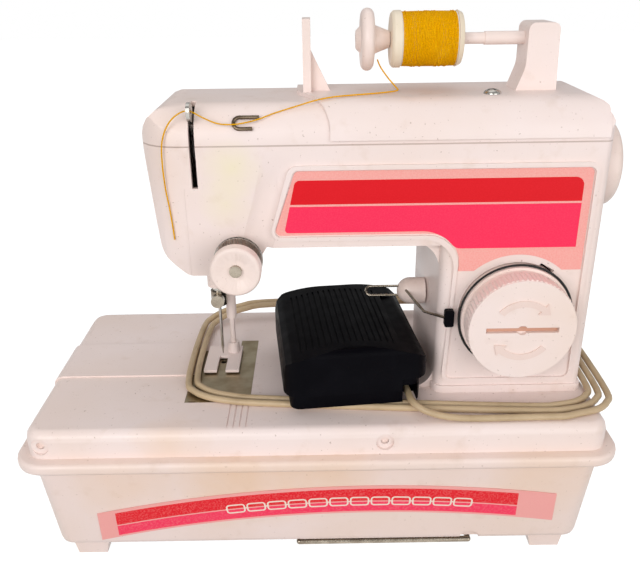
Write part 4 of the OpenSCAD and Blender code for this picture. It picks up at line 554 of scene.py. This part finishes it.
def printed(name, ink, faded):
    f = Finish(name)
    grain = f.noise(1400, 2)
    colour = f.mix(f.steps(grain, [(0.42, 0.0), (0.62, 0.55)]), ink, faded)
    colour = f.mix(f.steps(f.noise(60, 4), [(0.55, 0.0), (0.85, 0.4)]), colour, faded)
    f.bump(grain, 0.06, 0.0001)
    return f.set(Base_Color=colour, Roughness=0.42, Specular_IOR_Level=0.2)

pink_ink = printed("pink_border", screen(0.955, 0.645, 0.615), screen(0.965, 0.73, 0.69))
red_ink = printed("red_band", screen(0.865, 0.065, 0.115), screen(0.885, 0.10, 0.145))
rose_ink = printed("rose_band", screen(0.975, 0.185, 0.345), screen(0.98, 0.24, 0.38))
refinish("front_label", pink_ink)

def band(name, corners, rounding, finish):
    """A flat foil with these corners, each corner in rounding cut round by its radius."""
    places = [place_of(x, BAND_FACE, z) for x, z in corners]
    bpy.ops.object.select_all(action="DESELECT")
    bpy.ops.mesh.primitive_circle_add(vertices=len(corners), radius=1, fill_type="NGON")
    piece = bpy.context.object
    piece.name = name
    for vertex, place in zip(piece.data.vertices, places):
        vertex.co = place
    for index, radius in rounding.items():
        bpy.ops.object.mode_set(mode="EDIT")
        bpy.ops.mesh.select_mode(type="VERT")
        bpy.ops.mesh.select_all(action="DESELECT")
        bpy.ops.object.mode_set(mode="OBJECT")
        for vertex in piece.data.vertices:
            vertex.select = (vertex.co - places[index]).length < WELD / 2
        bpy.ops.object.mode_set(mode="EDIT")
        bpy.ops.mesh.bevel(offset=radius * MM, segments=6, affect="VERTICES")
        bpy.ops.object.mode_set(mode="OBJECT")
    apply(piece, "SOLIDIFY", thickness=FOIL * MM, offset=0)
    face_outward(piece)
    piece.data.materials.append(finish)
    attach(piece, "machine")
    return piece

band("front_red_band", [(-8, 112.2), (122.5, 112.2), (122.5, 100.9), (-10.5, 100.9)], {0: 2, 1: 4}, red_ink)
band("front_rose_band", [(-10.7, 99.9), (122.5, 99.9), (122.5, 78.5), (66.5, 78.5), (58, 87.3), (-13.5, 87.3)],
     {3: 2, 4: 7, 5: 2}, rose_ink)

# %% [markdown]
# The sticker on the tub is one curved strip. Its bands follow the strip's own arc, so the finish measures the distance
# to the arc's centre and switches colour at set radii. A row of chain stitches is drawn along it: each link is the
# outline of a rounded box, and a short bar joins it to the next.

# %% The curved sticker
ARC_R, ARC_X, ARC_TOP, STRIP_W = 600, 26, 47.5, 17.6
BANDS_LEFT, BANDS_RIGHT = -102, 100
LINKS_PER_RADIAN, FIRST_LINK, LAST_LINK, LINK_DEPTH = 57, -7, 5, 9.9
LINK_HALF_L, LINK_HALF_H, LINK_R, LINK_LINE, BAR_FROM = 3.1, 1.1, 1.4, 0.42, 4.4

def strip_finish():
    f = Finish("tub_strip")
    x, _, z = f.axes()
    dx, dz = f.math("SUBTRACT", x, ARC_X * MM), f.math("SUBTRACT", z, (ARC_TOP - ARC_R) * MM)

    def hypotenuse(a, b):
        return f.math("SQRT", f.math("ADD", f.math("MULTIPLY", a, a), f.math("MULTIPLY", b, b)))

    def between(value, low, high):
        return f.math("MULTIPLY", f.math("GREATER_THAN", value, low), f.math("LESS_THAN", value, high))

    depth = f.math("SUBTRACT", ARC_R * MM, hypotenuse(dx, dz))
    share = f.math("DIVIDE", depth, STRIP_W * MM)
    pink, red, rose = screen(0.955, 0.66, 0.64), screen(0.90, 0.10, 0.16), screen(0.975, 0.22, 0.37)
    bands = f.steps(share, [(0.0, pink), (0.10, red), (0.545, pink), (0.585, rose), (0.93, pink)], "CONSTANT")
    colour = f.mix(between(x, BANDS_LEFT * MM, BANDS_RIGHT * MM), pink, bands)
    angle = f.math("ARCTAN2", dx, dz)
    along = f.math("SUBTRACT", f.math("FRACT", f.math("MULTIPLY", angle, LINKS_PER_RADIAN)), 0.5)
    along = f.math("ABSOLUTE", f.math("MULTIPLY", along, ARC_R / LINKS_PER_RADIAN))
    across = f.math("ABSOLUTE", f.math("SUBTRACT", f.math("DIVIDE", depth, MM), LINK_DEPTH))
    side = f.math("MAXIMUM", f.math("SUBTRACT", along, LINK_HALF_L), 0.0)
    edge = f.math("MAXIMUM", f.math("SUBTRACT", across, LINK_HALF_H), 0.0)
    off_line = f.math("ABSOLUTE", f.math("SUBTRACT", hypotenuse(side, edge), LINK_R))
    ring = f.math("LESS_THAN", off_line, LINK_LINE)
    joint = f.math("MULTIPLY", f.math("GREATER_THAN", along, BAR_FROM), f.math("LESS_THAN", across, LINK_LINE))
    row = between(angle, FIRST_LINK / LINKS_PER_RADIAN, LAST_LINK / LINKS_PER_RADIAN)
    stitch = f.math("MULTIPLY", f.math("MAXIMUM", ring, joint), row)
    colour = f.mix(stitch, colour, screen(0.95, 0.88, 0.82))
    grain = f.noise(1400, 2)
    colour = f.mix(f.steps(grain, [(0.45, 0.0), (0.65, 0.18)]), colour, screen(0.96, 0.72, 0.68))
    f.bump(grain, 0.06, 0.0001)
    return f.set(Base_Color=colour, Roughness=0.42, Specular_IOR_Level=0.2)

refinish("base_label", strip_finish())

# %% [markdown]
# The screw of the top cover has a domed head with a cross recess. A sphere is cut in half, flattened to the height of
# the solid's dome, and two crossed bars are taken out of it.

# %% Cross-head screw
HEAD_R, RECESS = 4, (4.6, 1.0, 3.0)

def bar(name, size, place, turned=0.0):
    """A box of that size in millimetres, turned about Z, with its place in its mesh."""
    bpy.ops.object.select_all(action="DESELECT")
    bpy.ops.mesh.primitive_cube_add(size=1, location=place, rotation=(0, 0, math.radians(turned)))
    piece = bpy.context.object
    piece.name = name
    piece.scale = [side * MM for side in size]
    bpy.ops.object.transform_apply(location=True, rotation=True, scale=True)
    return piece

def cut_away(piece, *tools):
    for tool in tools:
        apply(piece, "BOOLEAN", operation="DIFFERENCE", object=tool, solver="EXACT")
        bpy.data.objects.remove(tool)

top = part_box("cover_screw")[1].z
head = place_of(82, -16, 146.5)
recess_at = head + Vector((0, 0, 2.3 * MM))
bpy.ops.object.select_all(action="DESELECT")
bpy.ops.mesh.primitive_uv_sphere_add(segments=40, ring_count=20, radius=HEAD_R * MM, location=head)
screw = bpy.context.object
screw.name = "cover_screw_head"
screw.scale.z = (top - head.z) / (HEAD_R * MM)
bpy.ops.object.transform_apply(location=True, rotation=True, scale=True)
bpy.ops.object.mode_set(mode="EDIT")
bpy.ops.mesh.select_all(action="SELECT")
bpy.ops.mesh.bisect(plane_co=head, plane_no=(0, 0, 1), use_fill=True, clear_inner=True)
bpy.ops.object.mode_set(mode="OBJECT")
cut_away(screw, bar("recess_a", RECESS, recess_at, 20), bar("recess_b", RECESS, recess_at, 110))
only(screw)
bpy.ops.object.shade_smooth_by_angle(angle=SMOOTH)
screw.data.materials.append(bright_steel)
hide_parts("cover_screw")
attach(screw, "machine")
print("screw", len(screw.data.polygons), "faces")

# %% [markdown]
# Beside the raised frame a shallow flute runs up the front of the arm. In the moulding it fades out at its top, so a
# grid is laid in its upper end that follows the flute below and rises smoothly to the flat face above.

# %% The fading end of the flute
FLUTE_R, FLUTE_SINK, FLUTE_TOP, FADE = 14, 11.8, 25.3, 22
FLUTE_W, FLUTE_FACE, FLUTE_SKIN = 15.4, -34.03, 0.4
FLUTE_MIDDLE, FLUTE_LEAN = (-20.42, 101.25), math.atan2(10.5, 35.5)

def flute_end():
    bpy.ops.object.select_all(action="DESELECT")
    bpy.ops.mesh.primitive_grid_add(x_subdivisions=24, y_subdivisions=20, size=1)
    piece = bpy.context.object
    piece.name = "flute_fade"
    for vertex in piece.data.vertices:
        across, down = vertex.co.x * FLUTE_W, (0.5 - vertex.co.y) * FADE
        share = min(1, down / FADE)
        depth = max(0, math.sqrt(FLUTE_R ** 2 - across ** 2) - FLUTE_SINK) * share * share * (3 - 2 * share)
        up = FLUTE_TOP - down
        x = FLUTE_MIDDLE[0] + across * math.cos(FLUTE_LEAN) + up * math.sin(FLUTE_LEAN)
        z = FLUTE_MIDDLE[1] - across * math.sin(FLUTE_LEAN) + up * math.cos(FLUTE_LEAN)
        vertex.co = place_of(x, FLUTE_FACE + depth, z)
    apply(piece, "SOLIDIFY", thickness=FLUTE_SKIN * MM, offset=-1)
    face_outward(piece)
    bpy.ops.object.shade_smooth_by_angle(angle=SMOOTH)
    piece.data.materials.append(shell)
    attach(piece, "machine")
    return piece

print(flute_end().name)

# %% [markdown]
# The two screw holes in the front of the deck end in a blind floor of the same plastic. Each floor is a disc that is
# inset and pushed back twice, so that it looks like a small moulded cup at the end of the hole.

# %% Floors of the deck's front holes
HOLE_R, HOLE_END, HOLE_Z, CUP_WALL = 1.97, -63.4, -7.5, 0.2

def hole_floor(name, x):
    bpy.ops.object.select_all(action="DESELECT")
    bpy.ops.mesh.primitive_circle_add(vertices=40, radius=HOLE_R * MM, fill_type="NGON",
                                      location=place_of(x, HOLE_END, HOLE_Z), rotation=(math.pi / 2, 0, 0))
    piece = bpy.context.object
    piece.name = name
    bpy.ops.object.transform_apply(location=True, rotation=True, scale=True)
    bpy.ops.object.mode_set(mode="EDIT")
    bpy.ops.mesh.select_all(action="SELECT")
    for inset, push in ((0.3, 0.5), (0.6, 0.3)):
        bpy.ops.mesh.inset(thickness=inset * MM)
        bpy.ops.mesh.extrude_region_move(TRANSFORM_OT_translate={"value": (0, push * MM, 0)})
    bpy.ops.object.mode_set(mode="OBJECT")
    apply(piece, "SOLIDIFY", thickness=CUP_WALL * MM, offset=-1)
    piece.data.materials.append(knob_shell)
    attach(piece, "machine")
    return piece

for name, x in (("left_hole_floor", -131.8), ("right_hole_floor", 32.5)):
    print(hole_floor(name, x).name)

# %% [markdown]
# Two bent arrows are moulded on the battery cap and show which way it turns. Each is a narrow arc of a circle that is
# thickened into a strip, with a three-cornered point, and both stand a little proud of the face.

# %% Arrows on the battery cap
CAP_X, CAP_Z = 96.5, 44
ARROW_R, ARROW_W, ARROW_T, ARROW_PROUD, POINT_HALF, POINT_L = 13.8, 3.0, 0.9, 0.3, 3.4, 4.6
# The arrows are tinted a little darker and pinker than the cap, as painted shade along their moulded relief.
arrow_shade_tint = aged_plastic("cap_arrow_shade", screen(0.930, 0.840, 0.805), screen(0.905, 0.805, 0.760), 0.3)

def cap_arrow(name, first, last):
    """An arc from first to last degrees on the cap's face with its point at the last."""
    centre = place_of(CAP_X, 0, CAP_Z)
    centre.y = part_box("battery_cap")[0].y - ARROW_PROUD * MM
    bpy.ops.object.select_all(action="DESELECT")
    bpy.ops.mesh.primitive_grid_add(x_subdivisions=24, y_subdivisions=1, size=1)
    piece = bpy.context.object
    piece.name = name
    for vertex in piece.data.vertices:
        along, out = vertex.co.x + 0.5, vertex.co.y
        angle = math.radians(first + (last - first) * along)
        radius = (ARROW_R + ARROW_W * out) * MM
        vertex.co = (centre.x + radius * math.cos(angle), centre.y, centre.z + radius * math.sin(angle))
    angle = math.radians(last)
    ahead = math.copysign(1, last - first)
    tip = Vector((math.cos(angle), 0, math.sin(angle)))
    way = Vector((-math.sin(angle), 0, math.cos(angle))) * ahead
    bpy.ops.object.select_all(action="DESELECT")
    bpy.ops.mesh.primitive_circle_add(vertices=3, fill_type="NGON")
    point = bpy.context.object
    middle = centre + tip * ARROW_R * MM
    for vertex, corner in zip(point.data.vertices, (tip * POINT_HALF, -tip * POINT_HALF, way * POINT_L)):
        vertex.co = middle + corner * MM
    piece.select_set(True)
    bpy.context.view_layer.objects.active = piece
    bpy.ops.object.join()
    apply(piece, "SOLIDIFY", thickness=ARROW_T * MM, offset=0)
    face_outward(piece)
    piece.data.materials.append(arrow_shade_tint)
    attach(piece, "battery_door")
    return piece

cap_arrow("cap_arrow_upper", 140, 52)
cap_arrow("cap_arrow_lower", 320, 228)
print("arrows on the cap")

# %% [markdown]
# Painted shade darkens the bottom of the cap's slot, and a dark ring of painted shade fills the gap round the cap. The
# slot's shade is a bevelled bar on the slot's floor. The ring is a torus that is flattened against the arm's face.

# %% Painted shade in the slot and round the cap
SHADE_RING_R, SHADE_RING_WIRE, SHADE_RING_FLAT = 27.15, 0.6, 0.6
# Painted shade: a pinkish-brown bar on the slot's floor darkens the bottom of the slot.
painted_shade = bar("slot_shade_strip", (33.6, 0.3, 2.3), place_of(CAP_X, -50.2, CAP_Z))
apply(painted_shade, "BEVEL", width=0.1 * MM, segments=2)
painted_shade.data.materials.append(aged_plastic("slot_shade", screen(0.82, 0.62, 0.53), screen(0.73, 0.52, 0.43), 0.4))
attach(painted_shade, "battery_door")
# Painted shade: a dark ring in the black rubber finish fills the gap round the cap.
bpy.ops.object.select_all(action="DESELECT")
bpy.ops.mesh.primitive_torus_add(major_radius=SHADE_RING_R * MM, minor_radius=SHADE_RING_WIRE * MM, major_segments=96,
                                 minor_segments=12, location=place_of(CAP_X, -38, CAP_Z),
                                 rotation=(math.pi / 2, 0, 0))
shade_ring = bpy.context.object
shade_ring.name = "cap_gap_shade"
bpy.ops.object.transform_apply(location=False, rotation=True, scale=True)
shade_ring.scale.y = SHADE_RING_FLAT
bpy.ops.object.transform_apply(location=True, rotation=True, scale=True)
bpy.ops.object.shade_smooth()
shade_ring.data.materials.append(rubber)
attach(shade_ring, "machine")
print("painted_shade", len(painted_shade.data.polygons), "faces, seal", len(shade_ring.data.polygons))

# %% [markdown]
# The machine stands on a wide pale floor before a plain bright world. The floor glows only where the camera, a
# reflection or clear plastic shows it, so it looks white but sends little light up. Three soft lamps at the front left,
# the front right and above light the machine evenly.

# %% Floor, lamps and world
FLOOR_GLOW, WORLD_LIGHT, WORLD_SEEN = 0.93, 0.45, 0.55
bpy.ops.object.select_all(action="DESELECT")
bpy.ops.mesh.primitive_plane_add(size=6, location=(0, 0, 0))
floor = bpy.context.object
floor.name = "floor"
ground = Finish("pale_floor")
rays = ground.tree.nodes.new("ShaderNodeLightPath").outputs
mirrored = ground.math("MAXIMUM", rays["Is Glossy Ray"], rays["Is Transmission Ray"])
seen = ground.math("MAXIMUM", rays["Is Camera Ray"], mirrored)
ground.set(Base_Color=(0.32, 0.32, 0.32, 1), Roughness=0.9, Emission_Color=(1, 1, 1, 1))
ground.set(Emission_Strength=ground.math("MULTIPLY", seen, FLOOR_GLOW), Specular_IOR_Level=0.0)
floor.data.materials.append(ground.material)

def lamp(name, place, aim, size, watts):
    bpy.ops.object.select_all(action="DESELECT")
    bpy.ops.object.light_add(type="AREA", location=place)
    light = bpy.context.object
    light.name = name
    light.data.shape = "DISK"
    light.data.size = size
    light.data.energy = watts
    light.rotation_euler = (Vector(aim) - Vector(place)).to_track_quat("-Z", "Y").to_euler()

lamp("key_lamp", (-0.45, -1.0, 0.55), (0, 0, 0.12), 0.7, 6.2)
lamp("fill_lamp", (0.6, -0.95, 0.35), (0, 0, 0.12), 0.8, 4.2)
lamp("top_lamp", (0.0, 0.25, 1.1), (0, 0, 0.1), 0.9, 1.6)
world = bpy.data.worlds.new("studio")
bpy.context.scene.world = world
world.use_nodes = True
sky = world.node_tree
path = sky.nodes.new("ShaderNodeLightPath").outputs
backdrop = sky.nodes.new("ShaderNodeMath")
backdrop.operation = "MULTIPLY_ADD"
sky.links.new(path["Is Camera Ray"], backdrop.inputs[0])
backdrop.inputs[1].default_value = WORLD_SEEN
backdrop.inputs[2].default_value = WORLD_LIGHT
sky.links.new(backdrop.outputs[0], sky.nodes["Background"].inputs["Strength"])
sky.nodes["Background"].inputs["Color"].default_value = (1, 1, 1, 1)
bpy.context.scene.view_settings.view_transform = "Standard"

# %% The end
bpy.context.view_layer.update()
